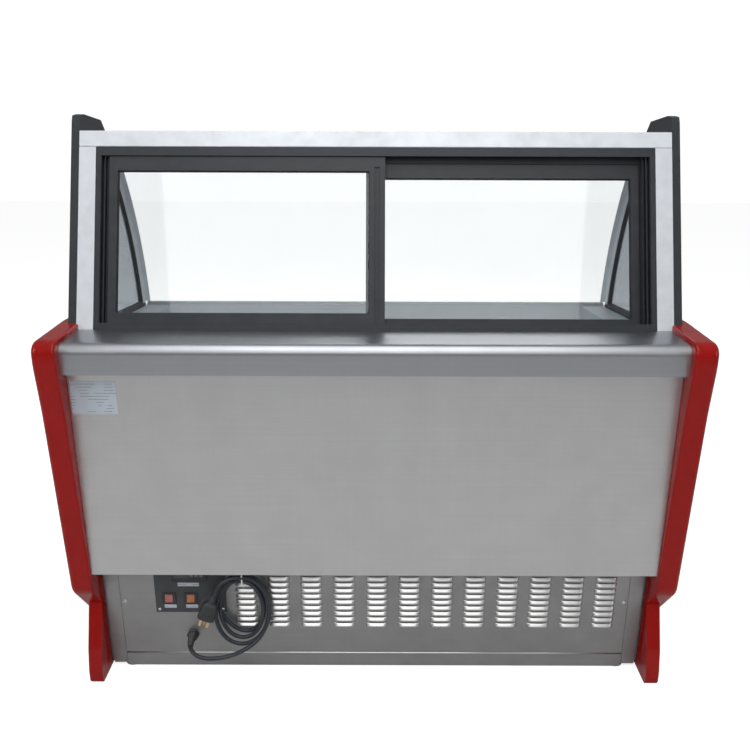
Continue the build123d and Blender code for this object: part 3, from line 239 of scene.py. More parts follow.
class Finish:
    # one material, with its Principled shader and the object's own coordinates at hand
    def __init__(self, name, **sockets):
        self.material = bpy.data.materials.new(name)
        self.material.use_nodes = True
        self.tree = self.material.node_tree
        self.shader = self.tree.nodes["Principled BSDF"]
        self.output = self.tree.nodes["Material Output"]
        coordinates = self.tree.nodes.new("ShaderNodeTexCoord")
        self.place = coordinates.outputs["Object"]
        for label, value in sockets.items():
            self.shader.inputs[label.replace("_", " ")].default_value = value
        self.bumps = None

    def group(self, group, **values):
        node = self.tree.nodes.new("ShaderNodeGroup")
        node.node_tree = group
        self.tree.links.new(self.place, node.inputs["Vector"])
        for label, value in values.items():
            node.inputs[label].default_value = value
        return node.outputs

    def turned(self, rotation):
        mapping = self.tree.nodes.new("ShaderNodeMapping")
        mapping.inputs["Rotation"].default_value = rotation
        self.tree.links.new(self.place, mapping.inputs["Vector"])
        self.place = mapping.outputs[0]

    def blendColours(self, factor, first, second):
        node = self.tree.nodes.new("ShaderNodeMix")
        node.data_type = "RGBA"
        self.tree.links.new(factor, node.inputs["Factor"])
        for socket, value in ((node.inputs[6], first), (node.inputs[7], second)):
            if isinstance(value, tuple):
                socket.default_value = (*value, 1.0)
            else:
                self.tree.links.new(value, socket)
        return node.outputs[2]

    def colour(self, source):
        self.tree.links.new(source, self.shader.inputs["Base Color"])

    def spread(self, factor, low, high, label="Roughness"):
        node = self.tree.nodes.new("ShaderNodeMapRange")
        node.inputs["To Min"].default_value = low
        node.inputs["To Max"].default_value = high
        self.tree.links.new(factor, node.inputs["Value"])
        self.tree.links.new(node.outputs[0], self.shader.inputs[label])

    def bump(self, height, strength, distance):
        node = self.tree.nodes.new("ShaderNodeBump")
        node.inputs["Strength"].default_value = strength
        node.inputs["Distance"].default_value = distance
        self.tree.links.new(height, node.inputs["Height"])
        if self.bumps is not None:
            self.tree.links.new(self.bumps, node.inputs["Normal"])
        self.bumps = node.outputs[0]
        self.tree.links.new(self.bumps, self.shader.inputs["Normal"])


finishes = {}


def steelFinish(name, dark, light, rough, stretch=3.0, fineness=700.0, smudge=0.5, dust=0.0):
    look = Finish(name, Metallic=1.0, Anisotropic=0.35)
    grain = look.group(brushedGrain, Stretch=stretch, Fineness=fineness, Hatch=0.3)
    marks = look.group(smudges, Size=4.0, Amount=smudge)
    shade = look.blendColours(grain["Shade"], dark, light)
    dulled = tuple(0.82 * channel for channel in light)
    shade = look.blendColours(marks["Mask"], shade, dulled)
    if dust:
        settled = look.group(settledDust, Amount=dust)
        shade = look.blendColours(settled["Mask"], shade, (0.62, 0.60, 0.57))
    look.colour(shade)
    look.spread(marks["Mask"], rough, rough + 0.14)
    look.bump(grain["Height"], 0.10, 0.0004)
    finishes[name] = look.material


def mouldedFinish(name, base, lighter, rough, fineness=900.0, grit=0.12, smudge=0.35, dust=0.15, **more):
    look = Finish(name, **more)
    texture = look.group(surfaceGrit, Fineness=fineness)
    marks = look.group(smudges, Size=9.0, Amount=smudge)
    settled = look.group(settledDust, Amount=dust)
    shade = look.blendColours(texture["Speckle"], base, lighter)
    faded = tuple(min(1.0, 0.7 * channel + 0.03) for channel in lighter)
    shade = look.blendColours(marks["Mask"], shade, faded)
    shade = look.blendColours(settled["Mask"], shade, (0.55, 0.53, 0.50))
    look.colour(shade)
    look.spread(marks["Mask"], rough, min(1.0, rough + 0.16))
    look.bump(texture["Height"], grit, 0.0005)
    finishes[name] = look.material


def glassFinish(name, tint, rough=0.02, smear=0.25):
    # clear pane: light passes for shadows, the rest is a plain glass shader
    look = Finish(name, Metallic=0.0, IOR=1.45, Transmission_Weight=1.0)
    marks = look.group(smudges, Size=7.0, Amount=smear)
    look.colour(look.blendColours(marks["Mask"], tint, tuple(0.93 * c for c in tint)))
    look.spread(marks["Mask"], rough, rough + 0.05)
    nodes, links = look.tree.nodes, look.tree.links
    rays = nodes.new("ShaderNodeLightPath")
    clear = nodes.new("ShaderNodeBsdfTransparent")
    clear.inputs["Color"].default_value = (*(0.97 * c for c in tint), 1.0)
    chooser = nodes.new("ShaderNodeMixShader")
    links.new(rays.outputs["Is Shadow Ray"], chooser.inputs[0])
    links.new(look.shader.outputs[0], chooser.inputs[1])
    links.new(clear.outputs[0], chooser.inputs[2])
    links.new(chooser.outputs[0], look.output.inputs["Surface"])
    finishes[name] = look.material


# red glossy mouldings: deep colour under a clear coat, faint ripple from the mould
redLook = Finish("redMoulding", Coat_Weight=0.30, Coat_Roughness=0.05, IOR=1.45, Specular_IOR_Level=0.12)
ripple = redLook.group(surfaceGrit, Fineness=60.0)
skinGrain = redLook.group(surfaceGrit, Fineness=900.0)
handled = redLook.group(smudges, Size=6.0, Amount=0.5)
redDust = redLook.group(settledDust, Amount=0.04)
redShade = redLook.blendColours(ripple["Speckle"], (0.27, 0.003, 0.002), (0.34, 0.005, 0.003))
redShade = redLook.blendColours(handled["Mask"], redShade, (0.24, 0.004, 0.003))
redShade = redLook.blendColours(redDust["Mask"], redShade, (0.55, 0.32, 0.30))
redLook.colour(redShade)
redLook.spread(handled["Mask"], 0.20, 0.34)
redLook.bump(ripple["Height"], 0.10, 0.0012)
redLook.bump(skinGrain["Height"], 0.03, 0.0004)
finishes["redMoulding"] = redLook.material

steelFinish("rearSteel", (0.54, 0.54, 0.54), (0.68, 0.68, 0.68), 0.36, 2.2, 620.0, 0.4)
# shadedBaseSteel: the rear panel's steel made darker for the lower panels: painted shade under the
# cabinet's overhang
steelFinish("shadedBaseSteel", (0.29, 0.29, 0.29), (0.40, 0.40, 0.40), 0.40, 2.6, 520.0, 0.9, 0.06)
# paintedHighlightSteel: the pressed panel's steel made brighter: painted highlight on the louvre hoods
# and the rolled lip
steelFinish("paintedHighlightSteel", (0.64, 0.64, 0.64), (0.78, 0.78, 0.77), 0.30, 2.6, 520.0, 0.3)
# worktopPaintedReflection: the steel darkened and tinted blue-grey: painted dark reflection of the
# window above the worktop
steelFinish("worktopPaintedReflection", (0.38, 0.395, 0.415), (0.48, 0.495, 0.52), 0.33, 2.0, 760.0, 0.35)
steelFinish("traySteel", (0.42, 0.42, 0.40), (0.58, 0.58, 0.55), 0.48, 5.0, 90.0, 0.9, 0.6)
steelFinish("finMetal", (0.62, 0.63, 0.65), (0.78, 0.79, 0.81), 0.36, 40.0, 420.0, 0.3, 0.3)
steelFinish("brightSteel", (0.66, 0.66, 0.67), (0.80, 0.80, 0.81), 0.20, 60.0, 900.0, 0.3)
steelFinish("copperPipe", (0.62, 0.26, 0.14), (0.80, 0.42, 0.27), 0.30, 20.0, 300.0, 0.9, 0.2)
steelFinish("bladeBrass", (0.70, 0.48, 0.20), (0.86, 0.64, 0.32), 0.24, 60.0, 800.0, 0.6)

mouldedFinish(
    "paleCoat", (0.58, 0.61, 0.65), (0.69, 0.72, 0.76),
    0.38, 1400.0, 0.10, 0.5, 0.0, Metallic=0.25,
)
mouldedFinish(
    "darkFrame", (0.016, 0.019, 0.024), (0.026, 0.030, 0.036),
    0.42, 1500.0, 0.14, 0.25, 0.04, Specular_IOR_Level=0.3,
)
mouldedFinish(
    "doorProfile", (0.018, 0.021, 0.026), (0.028, 0.032, 0.038),
    0.38, 1500.0, 0.10, 0.3, 0.04, Specular_IOR_Level=0.3,
)
mouldedFinish(
    "sealRubber", (0.012, 0.012, 0.013), (0.022, 0.022, 0.024),
    0.62, 1100.0, 0.2, 0.3, 0.2,
)
mouldedFinish("linerEnamel", (0.50, 0.56, 0.60), (0.58, 0.64, 0.68), 0.34, 700.0, 0.06, 0.3, 0.03)
# glazingStripPaintedLight: near-white colour on a strip that faces into the shaded interior: painted
# light
mouldedFinish("glazingStripPaintedLight", (0.78, 0.82, 0.86), (0.84, 0.88, 0.92), 0.40, 900.0, 0.08, 0.3, 0.0)
mouldedFinish("sillCoat", (0.44, 0.49, 0.52), (0.52, 0.57, 0.60), 0.36, 900.0, 0.08, 0.3, 0.03)
mouldedFinish("whitePlastic", (0.72, 0.72, 0.71), (0.80, 0.80, 0.79), 0.38, 1200.0, 0.08, 0.3, 0.05)
mouldedFinish("foamCore", (0.62, 0.50, 0.24), (0.78, 0.66, 0.38), 0.85, 500.0, 0.5, 0.4, 0.0)
mouldedFinish(
    "blackPlastic", (0.016, 0.016, 0.018), (0.028, 0.028, 0.030),
    0.42, 1300.0, 0.16, 0.3, 0.15,
)
mouldedFinish(
    "plateCoat", (0.028, 0.031, 0.036), (0.046, 0.050, 0.056),
    0.46, 1000.0, 0.24, 0.5, 0.08,
)
mouldedFinish("motorPaint", (0.08, 0.08, 0.085), (0.13, 0.13, 0.135), 0.45, 900.0, 0.14, 0.4, 0.3)
mouldedFinish(
    "compressorPaint", (0.010, 0.010, 0.010), (0.020, 0.020, 0.020),
    0.20, 300.0, 0.08, 0.3, 0.5, Coat_Weight=0.4,
)
mouldedFinish(
    "footPlastic", (0.020, 0.020, 0.020), (0.036, 0.036, 0.036),
    0.55, 800.0, 0.2, 0.5, 0.3,
)
mouldedFinish(
    "buttonPlastic", (0.13, 0.135, 0.15), (0.18, 0.185, 0.20),
    0.42, 1400.0, 0.1, 0.3, 0.0,
)
mouldedFinish(
    "rockerTint", (0.42, 0.13, 0.05), (0.56, 0.20, 0.08),
    0.24, 700.0, 0.04, 0.4, 0.0, Coat_Weight=0.3,
)
mouldedFinish(
    "lightRockerTint", (0.36, 0.11, 0.10), (0.48, 0.17, 0.15),
    0.24, 700.0, 0.04, 0.4, 0.0, Coat_Weight=0.3,
)
mouldedFinish(
    "lensTint", (0.018, 0.030, 0.030), (0.030, 0.050, 0.048),
    0.14, 500.0, 0.03, 0.3, 0.0, Coat_Weight=0.5,
)


def makeRuledRows():
    # broken lines across a label: a mask only
    group, inside, outside = startGroup(
        "ruledRows",
        [
            ("Vector", "NodeSocketVector", None),
            ("Pitch", "NodeSocketFloat", 0.0065),
            ("Share", "NodeSocketFloat", 0.16),
        ],
        [("Mask", "NodeSocketFloat")],
    )
    parts = group.nodes.new("ShaderNodeSeparateXYZ")
    group.links.new(inside.outputs["Vector"], parts.inputs[0])
    rows = mathNode(group, "DIVIDE", parts.outputs["Z"], inside.outputs["Pitch"])
    phase = mathNode(group, "FRACT", rows)
    onRow = mathNode(group, "LESS_THAN", phase, inside.outputs["Share"])
    breaks = group.nodes.new("ShaderNodeTexNoise")
    breaks.inputs["Scale"].default_value = 55.0
    breaks.inputs["Detail"].default_value = 0.0
    group.links.new(inside.outputs["Vector"], breaks.inputs["Vector"])
    kept = mathNode(group, "GREATER_THAN", breaks.outputs[0], 0.46)
    group.links.new(mathNode(group, "MULTIPLY", onRow, kept), outside.inputs["Mask"])
    return group


ruledRows = makeRuledRows()
labelLook = Finish("ruledLabel", Roughness=0.46)
labelGrit = labelLook.group(surfaceGrit, Fineness=1600.0)
labelRows = labelLook.group(ruledRows, Pitch=0.0065)
labelShade = labelLook.blendColours(labelGrit["Speckle"], (0.42, 0.48, 0.54), (0.50, 0.55, 0.61))
labelLook.colour(labelLook.blendColours(labelRows["Mask"], labelShade, (0.16, 0.18, 0.22)))
labelLook.bump(labelGrit["Height"], 0.05, 0.0004)
finishes["ruledLabel"] = labelLook.material
mouldedFinish("tieNylon", (0.74, 0.74, 0.70), (0.84, 0.84, 0.80), 0.40, 900.0, 0.06, 0.3, 0.0)
mouldedFinish("tubeFrost", (0.86, 0.88, 0.88), (0.94, 0.95, 0.95), 0.30, 600.0, 0.04, 0.2, 0.0)
mouldedFinish(
    "cordSheath", (0.008, 0.012, 0.019), (0.016, 0.022, 0.032),
    0.38, 1600.0, 0.12, 0.4, 0.03,
)
mouldedFinish(
    "plugMoulding", (0.010, 0.012, 0.016), (0.020, 0.023, 0.028),
    0.44, 1300.0, 0.2, 0.4, 0.05,
)

glassFinish("doorGlass", (0.985, 0.995, 0.995))
glassFinish("endGlass", (0.36, 0.40, 0.43), 0.05, 0.3)
glassFinish("frontGlass", (0.975, 0.99, 0.988))
print("materials made:", len(finishes))

# ---------- finishes on the CAD nodes

nodeFinishes = {
    "left_side_panel": "redMoulding", "right_side_panel": "redMoulding",
    "left_foot_skirt": "redMoulding", "right_foot_skirt": "redMoulding",
    "front_fascia": "redMoulding",
    "base_frame": "shadedBaseSteel", "bottom_strip": "shadedBaseSteel", "front_kick_panel": "shadedBaseSteel",
    "machine_tray": "traySteel", "glides": "footPlastic",
    "cabinet_shell": "rearSteel", "rear_panel": "rearSteel", "worktop": "worktopPaintedReflection",
    "insulation": "foamCore", "inner_liner": "linerEnamel", "display_decks": "linerEnamel",
    "evaporator_fan_plate": "linerEnamel",
    "front_sill": "sillCoat", "canopy": "paleCoat", "top_rail": "paleCoat", "window_posts": "paleCoat",
    "end_frames": "darkFrame", "window_frame": "darkFrame",
    "left_door_frame": "doorProfile", "right_door_frame": "doorProfile",
    "left_door_glass": "doorGlass", "right_door_glass": "doorGlass",
    "end_glasses": "endGlass", "front_glass": "frontGlass",
    "lamp_housing": "whitePlastic", "lamp_tube": "tubeFrost",
    "evaporator": "finMetal", "condenser": "finMetal",
    "evaporator_fan_left": "blackPlastic", "evaporator_fan_right": "blackPlastic",
    "condenser_fan": "blackPlastic", "fan_motors": "motorPaint", "condenser_shroud": "motorPaint",
    "compressor": "compressorPaint", "compressor_grommets": "sealRubber",
    "filter_drier": "copperPipe", "refrigerant_pipes": "copperPipe",
    "control_plate": "plateCoat", "controller": "blackPlastic", "controller_lens": "lensTint",
    "set_button": "buttonPlastic", "down_button": "buttonPlastic", "up_button": "buttonPlastic",
    "switch_housings": "blackPlastic", "power_rocker": "lightRockerTint", "light_rocker": "rockerTint",
    "label_plates": "ruledLabel", "cord_gland": "blackPlastic", "cable_tie": "tieNylon",
    "plug_blades": "bladeBrass",
}
for nodeName, finishName in nodeFinishes.items():
    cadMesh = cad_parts[nodeName].data
    if len(cadMesh.materials) == 0:
        cadMesh.materials.append(finishes[finishName])
    for index in range(len(cadMesh.materials)):
        cadMesh.materials[index] = finishes[finishName]

# ---------- supply cord: gland, free run, hanging turns, plug

cordSetup = {
    "diameter": 0.0095,
    "gland": (-0.416, -0.320, 0.088),
    "coilCentre": (-0.296, -0.324, 0.175),
    "coilRadii": (0.0560, 0.0800),
    "layer": 0.0070,
    "turns": 3,
    "pointsPerTurn": 16,
    "fan": (-0.0140, 0.0040, 0.0100),
    "fanAngle": 244,
    "overrun": 72,
}
leavingGland = [
    (-0.416, -0.320, 0.088),
    (-0.416, -0.340, 0.087),
    (-0.408, -0.357, 0.082),
    (-0.390, -0.367, 0.075),
    (-0.360, -0.366, 0.070),
    (-0.314, -0.357, 0.073),
    (-0.270, -0.342, 0.091),
    (-0.244, -0.327, 0.122),
]
towardsPlug = [
    (-0.306, -0.3370, 0.263),
    (-0.328, -0.346, 0.259),
    (-0.3436, -0.352, 0.245),
    (-0.351, -0.353, 0.225),
]


def coilPoint(angle, lap):
    # each lap takes the next corner of a square of four strands
    corners = [(1, 1), (-1, 1), (-1, -1), (1, -1)]
    index = min(int(lap), 2)
    part = min(lap - index, 1.0)
    out = corners[index][0] * (1 - part) + corners[index + 1][0] * part
    back = corners[index][1] * (1 - part) + corners[index + 1][1] * part
    fanning = max(0.0, math.cos(math.radians(angle - cordSetup["fanAngle"]))) ** 2
    spread = cordSetup["layer"] * out + cordSetup["fan"][index] * fanning
    centre, radii = cordSetup["coilCentre"], cordSetup["coilRadii"]
    return (
        centre[0] + (radii[0] + spread) * math.cos(math.radians(angle)),
        centre[1] + cordSetup["layer"] * back,
        centre[2] + (radii[1] + spread) * math.sin(math.radians(angle)),
    )


cordPoints = list(leavingGland)
stepAngle = 360 / cordSetup["pointsPerTurn"]
angle = 0.0
while angle <= 360 * cordSetup["turns"] + cordSetup["overrun"]:
    cordPoints.append(coilPoint(angle, angle / 360))
    angle += stepAngle
cordPoints += towardsPlug


def splineCurve(name, points, bevel):
    curve = bpy.data.curves.new(name, "CURVE")
    curve.dimensions = "3D"
    curve.resolution_u = 5
    spline = curve.splines.new("NURBS")
    spline.points.add(len(points) - 1)
    for target, point in zip(spline.points, points):
        target.co = (*point, 1.0)
    spline.order_u = 3
    spline.use_endpoint_u = True
    curve.bevel_depth = bevel
    curve.bevel_resolution = 3
    curve.use_fill_caps = True
    piece = bpy.data.objects.new(name, curve)
    scene.collection.objects.link(piece)
    return piece


supplyCord = splineCurve("supplyCord", cordPoints, cordSetup["diameter"] / 2)
supplyCord.data.materials.append(finishes["cordSheath"])


def centreLine(points):
    # the smooth line of the route, read from a curve with no bevel
    probe = splineCurve("routeProbe", points, 0.0)
    depsgraph = bpy.context.evaluated_depsgraph_get()
    mesh = bpy.data.meshes.new_from_object(probe.evaluated_get(depsgraph))
    line = [vertex.co.copy() for vertex in mesh.vertices]
    bpy.data.objects.remove(probe)
    bpy.data.meshes.remove(mesh)
    return line


cordLine = centreLine(cordPoints)

# moulded boot where the cord leaves its gland
bootSetup = {"length": 0.022, "thick": 0.0080, "thin": 0.0055, "ribs": 4, "sides": 24}


def pointAlong(line, distance):
    for a, b in zip(line, line[1:]):
        step = (b - a).length
        if distance <= step:
            return a.lerp(b, distance / step), (b - a).normalized()
        distance -= step
    return line[-1], (line[-1] - line[-2]).normalized()


bootRings = []
bootSteps = bootSetup["ribs"] * 6
for k in range(bootSteps + 1):
    part = k / bootSteps
    at, along = pointAlong(cordLine, part * bootSetup["length"])
    radius = bootSetup["thick"] * (1 - part) + bootSetup["thin"] * part
    radius += 0.0007 * math.cos(2 * math.pi * bootSetup["ribs"] * part)
    sideways = along.cross(Vector((1, 0, 0))).normalized()
    upwards = along.cross(sideways).normalized()
    bootRings.append([
        at + radius * (math.cos(2 * math.pi * n / bootSetup["sides"]) * sideways
                       + math.sin(2 * math.pi * n / bootSetup["sides"]) * upwards)
        for n in range(bootSetup["sides"])
    ])
glandBoot = addPiece("glandBoot", sweepSections("glandBoot", bootRings))
glandBoot.data.materials.append(finishes["sealRubber"])

# plug body: tapered neck with rings, then a gripping body with finger ribs
plugSetup = {
    "root": (-0.351, -0.353, 0.225),
    "angle": 20.4,
    "neck": 0.017,
    "long": 0.044,
    "ribs": 6,
    "sides": 40,
}
plugLean = math.radians(plugSetup["angle"])
plugDown = Vector((-math.sin(plugLean), 0, -math.cos(plugLean)))
plugWide = Vector((0, 1, 0))
plugFlat = plugDown.cross(plugWide)


def roundedRing(at, halfWide, halfFlat, power):
    ring = []
    for n in range(plugSetup["sides"]):
        turnAngle = 2 * math.pi * n / plugSetup["sides"]
        c, s = math.cos(turnAngle), math.sin(turnAngle)
        wide = math.copysign(abs(c) ** (2 / power), c) * halfWide
        flat = math.copysign(abs(s) ** (2 / power), s) * halfFlat
        ring.append(at + plugWide * wide + plugFlat * flat)
    return ring


plugRings = []
for k in range(25):
    part = k / 24
    radius = 0.0058 + 0.0026 * part + 0.0006 * math.cos(part * 8 * math.pi)
    middle = Vector(plugSetup["root"]) + plugDown * plugSetup["neck"] * part
    plugRings.append(roundedRing(middle, radius, radius, 2.0))
for k in range(61):
    part = k / 60
    at = Vector(plugSetup["root"]) + plugDown * (plugSetup["neck"] + plugSetup["long"] * part)
    shoulder = min(1.0, 0.62 + 2.4 * part)
    rib = 0.0
    if 0.16 < part < 0.80:
        rib = -0.0011 * max(0.0, math.sin((part - 0.16) / 0.64 * math.pi * 2 * plugSetup["ribs"])) ** 0.6
    edge = 1.0 - 0.08 * max(0.0, (part - 0.94) / 0.06)
    halfFlat = ((0.0165 + 0.0032 * part) * shoulder + rib) * edge
    halfWide = ((0.0116 + 0.0010 * part) * shoulder + rib) * edge
    plugRings.append(roundedRing(at, halfWide, halfFlat, 3.4))
plugShell = addPiece("plugShell", sweepSections("plugShell", plugRings))
plugShell.data.materials.append(finishes["plugMoulding"])

for piece in (supplyCord, glandBoot, plugShell):
    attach(piece, "cabinet")
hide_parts("power_cord", "cord_coil")
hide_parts("plug_body")
print("cord and plug made")

# ---------- Geometry Nodes helpers

def startTree(name, inputs):
    tree = bpy.data.node_groups.new(name, "GeometryNodeTree")
    for label, kind, value in inputs:
        socket = tree.interface.new_socket(name=label, in_out="INPUT", socket_type=kind)
        if value is not None:
            socket.default_value = value
    tree.interface.new_socket(name="Geometry", in_out="OUTPUT", socket_type="NodeSocketGeometry")
    return tree, tree.nodes.new("NodeGroupInput"), tree.nodes.new("NodeGroupOutput")


def endTree(tree, instances, materialSocket, outside):
    real = tree.nodes.new("GeometryNodeRealizeInstances")
    finish = tree.nodes.new("GeometryNodeSetMaterial")
    tree.links.new(instances, real.inputs[0])
    tree.links.new(real.outputs[0], finish.inputs["Geometry"])
    tree.links.new(materialSocket, finish.inputs["Material"])
    tree.links.new(finish.outputs[0], outside.inputs["Geometry"])


def bakeTree(name, tree, carrierMesh, values):
    carrier = bpy.data.objects.new(name, carrierMesh)
    scene.collection.objects.link(carrier)
    modifier = carrier.modifiers.new(name, "NODES")
    modifier.node_group = tree
    for item in tree.interface.items_tree:
        if item.item_type == "SOCKET" and item.in_out == "INPUT" and item.name in values:
            modifier[item.identifier] = values[item.name]
    return bakeModifiers(carrier)


def makeGridTree():
    # a part repeated on an upright grid: columns along X, rows along Z
    tree, inside, outside = startTree("uprightGrid", [
        ("Geometry", "NodeSocketGeometry", None),
        ("Part", "NodeSocketObject", None),
        ("Columns", "NodeSocketInt", 2), ("Rows", "NodeSocketInt", 2),
        ("Column Pitch", "NodeSocketFloat", 0.1), ("Row Pitch", "NodeSocketFloat", 0.1),
        ("Middle", "NodeSocketVector", None),
        ("Finish", "NodeSocketMaterial", None),
    ])
    links = tree.links

    def spanOf(countSocket, pitchSocket):
        less = tree.nodes.new("ShaderNodeMath")
        less.operation = "SUBTRACT"
        less.inputs[1].default_value = 1.0
        links.new(countSocket, less.inputs[0])
        span = tree.nodes.new("ShaderNodeMath")
        span.operation = "MULTIPLY"
        links.new(less.outputs[0], span.inputs[0])
        links.new(pitchSocket, span.inputs[1])
        return span.outputs[0]

    grid = tree.nodes.new("GeometryNodeMeshGrid")
    links.new(spanOf(inside.outputs["Columns"], inside.outputs["Column Pitch"]), grid.inputs["Size X"])
    links.new(spanOf(inside.outputs["Rows"], inside.outputs["Row Pitch"]), grid.inputs["Size Y"])
    links.new(inside.outputs["Columns"], grid.inputs["Vertices X"])
    links.new(inside.outputs["Rows"], grid.inputs["Vertices Y"])
    raised = tree.nodes.new("GeometryNodeTransform")
    raised.inputs["Rotation"].default_value = (math.pi / 2, 0, 0)
    links.new(grid.outputs["Mesh"], raised.inputs["Geometry"])
    links.new(inside.outputs["Middle"], raised.inputs["Translation"])
    part = tree.nodes.new("GeometryNodeObjectInfo")
    links.new(inside.outputs["Part"], part.inputs["Object"])
    spots = tree.nodes.new("GeometryNodeInstanceOnPoints")
    links.new(raised.outputs[0], spots.inputs["Points"])
    links.new(part.outputs["Geometry"], spots.inputs["Instance"])
    endTree(tree, spots.outputs[0], inside.outputs["Finish"], outside)
    return tree


def makeSpotTree():
    # a part at every vertex of the carrier, each turned a little about Y
    tree, inside, outside = startTree("turnedSpots", [
        ("Geometry", "NodeSocketGeometry", None),
        ("Part", "NodeSocketObject", None),
        ("Turn", "NodeSocketFloat", 1.0), ("Seed", "NodeSocketInt", 7),
        ("Finish", "NodeSocketMaterial", None),
    ])
    links = tree.links
    chance = tree.nodes.new("FunctionNodeRandomValue")
    chance.data_type = "FLOAT"
    floatInputs = [socket for socket in chance.inputs if socket.type == "VALUE"]
    links.new(inside.outputs["Turn"], floatInputs[1])
    links.new(inside.outputs["Seed"], chance.inputs["Seed"])
    floatOutput = [socket for socket in chance.outputs if socket.type == "VALUE"][0]
    turned = tree.nodes.new("ShaderNodeCombineXYZ")
    links.new(floatOutput, turned.inputs["Y"])
    part = tree.nodes.new("GeometryNodeObjectInfo")
    links.new(inside.outputs["Part"], part.inputs["Object"])
    spots = tree.nodes.new("GeometryNodeInstanceOnPoints")
    links.new(inside.outputs["Geometry"], spots.inputs["Points"])
    links.new(part.outputs["Geometry"], spots.inputs["Instance"])
    links.new(turned.outputs[0], spots.inputs["Rotation"])
    endTree(tree, spots.outputs[0], inside.outputs["Finish"], outside)
    return tree


uprightGrid = makeGridTree()
turnedSpots = makeSpotTree()

# ---------- pressed louvre panel of the machine space

louvreSetup = {
    "columns": 12,
    "rows": 10,
    "columnPitch": 0.0736,
    "rowPitch": 0.0151,
    "firstX": -0.289,
    "firstZ": 0.117,
    "wide": 0.048,
    "tall": 0.0082,
    "reach": 0.0066,
    "sheet": 0.0015,
}
plateLow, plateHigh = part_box("control_plate")
panelLow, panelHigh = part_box("louvre_panel")
sheetFront = -0.300
glandAt = Vector(cordSetup["gland"])


def louvreHood():
    # a pressed hood: closed at the top and ends, open below, as thick as the sheet
    bm = bmesh.new()
    across, down = 12, 4
    grid = []
    for j in range(down + 1):
        v = j / down
        row = []
        for i in range(across + 1):
            u = 2 * i / across - 1
            ends = (1 - abs(u) ** 5) ** 0.6 if abs(u) < 1 else 0.0
            swell = v ** 0.9
            row.append(bm.verts.new((
                u * louvreSetup["wide"] / 2,
                -louvreSetup["reach"] * ends * swell,
                louvreSetup["tall"] / 2 - louvreSetup["tall"] * v,
            )))
        grid.append(row)
    for j in range(down):
        for i in range(across):
            bm.faces.new((grid[j][i], grid[j][i + 1], grid[j + 1][i + 1], grid[j + 1][i]))
    bmesh.ops.recalc_face_normals(bm, faces=bm.faces)
    mesh = meshFromBm("louvreHood", bm, False)
    hood = addPiece("louvreHood", mesh)
    thicken = hood.modifiers.new("thicken", "SOLIDIFY")
    thicken.thickness = 0.0007
    thicken.offset = 0
    return bakeModifiers(hood)


def louvreSheet():
    # flat sheet with a slot under every hood, cut-outs for the controls and the gland
    xs = {panelLow.x, panelHigh.x}
    zs = {panelLow.z, panelHigh.z}
    slots = []
    for column in range(louvreSetup["columns"]):
        middle = louvreSetup["firstX"] + column * louvreSetup["columnPitch"]
        reach = louvreSetup["wide"] * 0.44
        xs |= {round(middle - reach, 6), round(middle + reach, 6)}
    for row in range(louvreSetup["rows"]):
        middle = louvreSetup["firstZ"] + row * louvreSetup["rowPitch"]
        zs |= {round(middle - 0.0036, 6), round(middle + 0.0016, 6)}
    for column in range(louvreSetup["columns"]):
        for row in range(louvreSetup["rows"]):
            x = louvreSetup["firstX"] + column * louvreSetup["columnPitch"]
            z = louvreSetup["firstZ"] + row * louvreSetup["rowPitch"]
            halfSlot = 0.45 * louvreSetup["wide"]
            slots.append((x - halfSlot, x + halfSlot, z - 0.0037, z + 0.0017))
    controlCut = (plateLow.x + 0.013, plateHigh.x - 0.013, plateLow.z + 0.008, plateHigh.z - 0.008)
    glandCut = (glandAt.x - 0.0090, glandAt.x + 0.0090, glandAt.z - 0.0090, glandAt.z + 0.0090)
    for left, right, low, high in (controlCut, glandCut):
        xs |= {left, right}
        zs |= {low, high}
    cuts = slots + [controlCut, glandCut]
    xs, zs = sorted(xs), sorted(zs)
    bm = bmesh.new()
    spots = {
        (i, j): bm.verts.new((x, sheetFront, z)) for i, x in enumerate(xs) for j, z in enumerate(zs)
    }
    for i in range(len(xs) - 1):
        for j in range(len(zs) - 1):
            x, z = (xs[i] + xs[i + 1]) / 2, (zs[j] + zs[j + 1]) / 2
            if any(left < x < right and low < z < high for left, right, low, high in cuts):
                continue
            bm.faces.new((spots[i, j], spots[i + 1, j], spots[i + 1, j + 1], spots[i, j + 1]))
    bmesh.ops.delete(bm, geom=[v for v in bm.verts if not v.link_faces], context="VERTS")
    bmesh.ops.solidify(bm, geom=list(bm.faces), thickness=louvreSetup["sheet"])
    shift = max(v.co.y for v in bm.verts) - (sheetFront + louvreSetup["sheet"])
    for vertex in bm.verts:
        vertex.co.y -= shift
    mesh = meshFromBm("pressedPanel", bm)
    return addPiece("pressedPanel", mesh, smooth=False)


hoodPart = louvreHood()
hoodRows = bakeTree("louvreHoods", uprightGrid, bpy.data.meshes.new("louvreHoods"), {
    "Part": hoodPart,
    "Columns": louvreSetup["columns"], "Rows": louvreSetup["rows"],
    "Column Pitch": louvreSetup["columnPitch"], "Row Pitch": louvreSetup["rowPitch"],
    "Middle": (
        louvreSetup["firstX"] + (louvreSetup["columns"] - 1) * louvreSetup["columnPitch"] / 2,
        sheetFront,
        louvreSetup["firstZ"] + (louvreSetup["rows"] - 1) * louvreSetup["rowPitch"] / 2,
    ),
    # the hoods take the brighter steel: painted highlight on their tops
    "Finish": finishes["paintedHighlightSteel"],
})
bpy.data.objects.remove(hoodPart)
pressedPanel = louvreSheet()
pressedPanel.data.materials.append(finishes["shadedBaseSteel"])
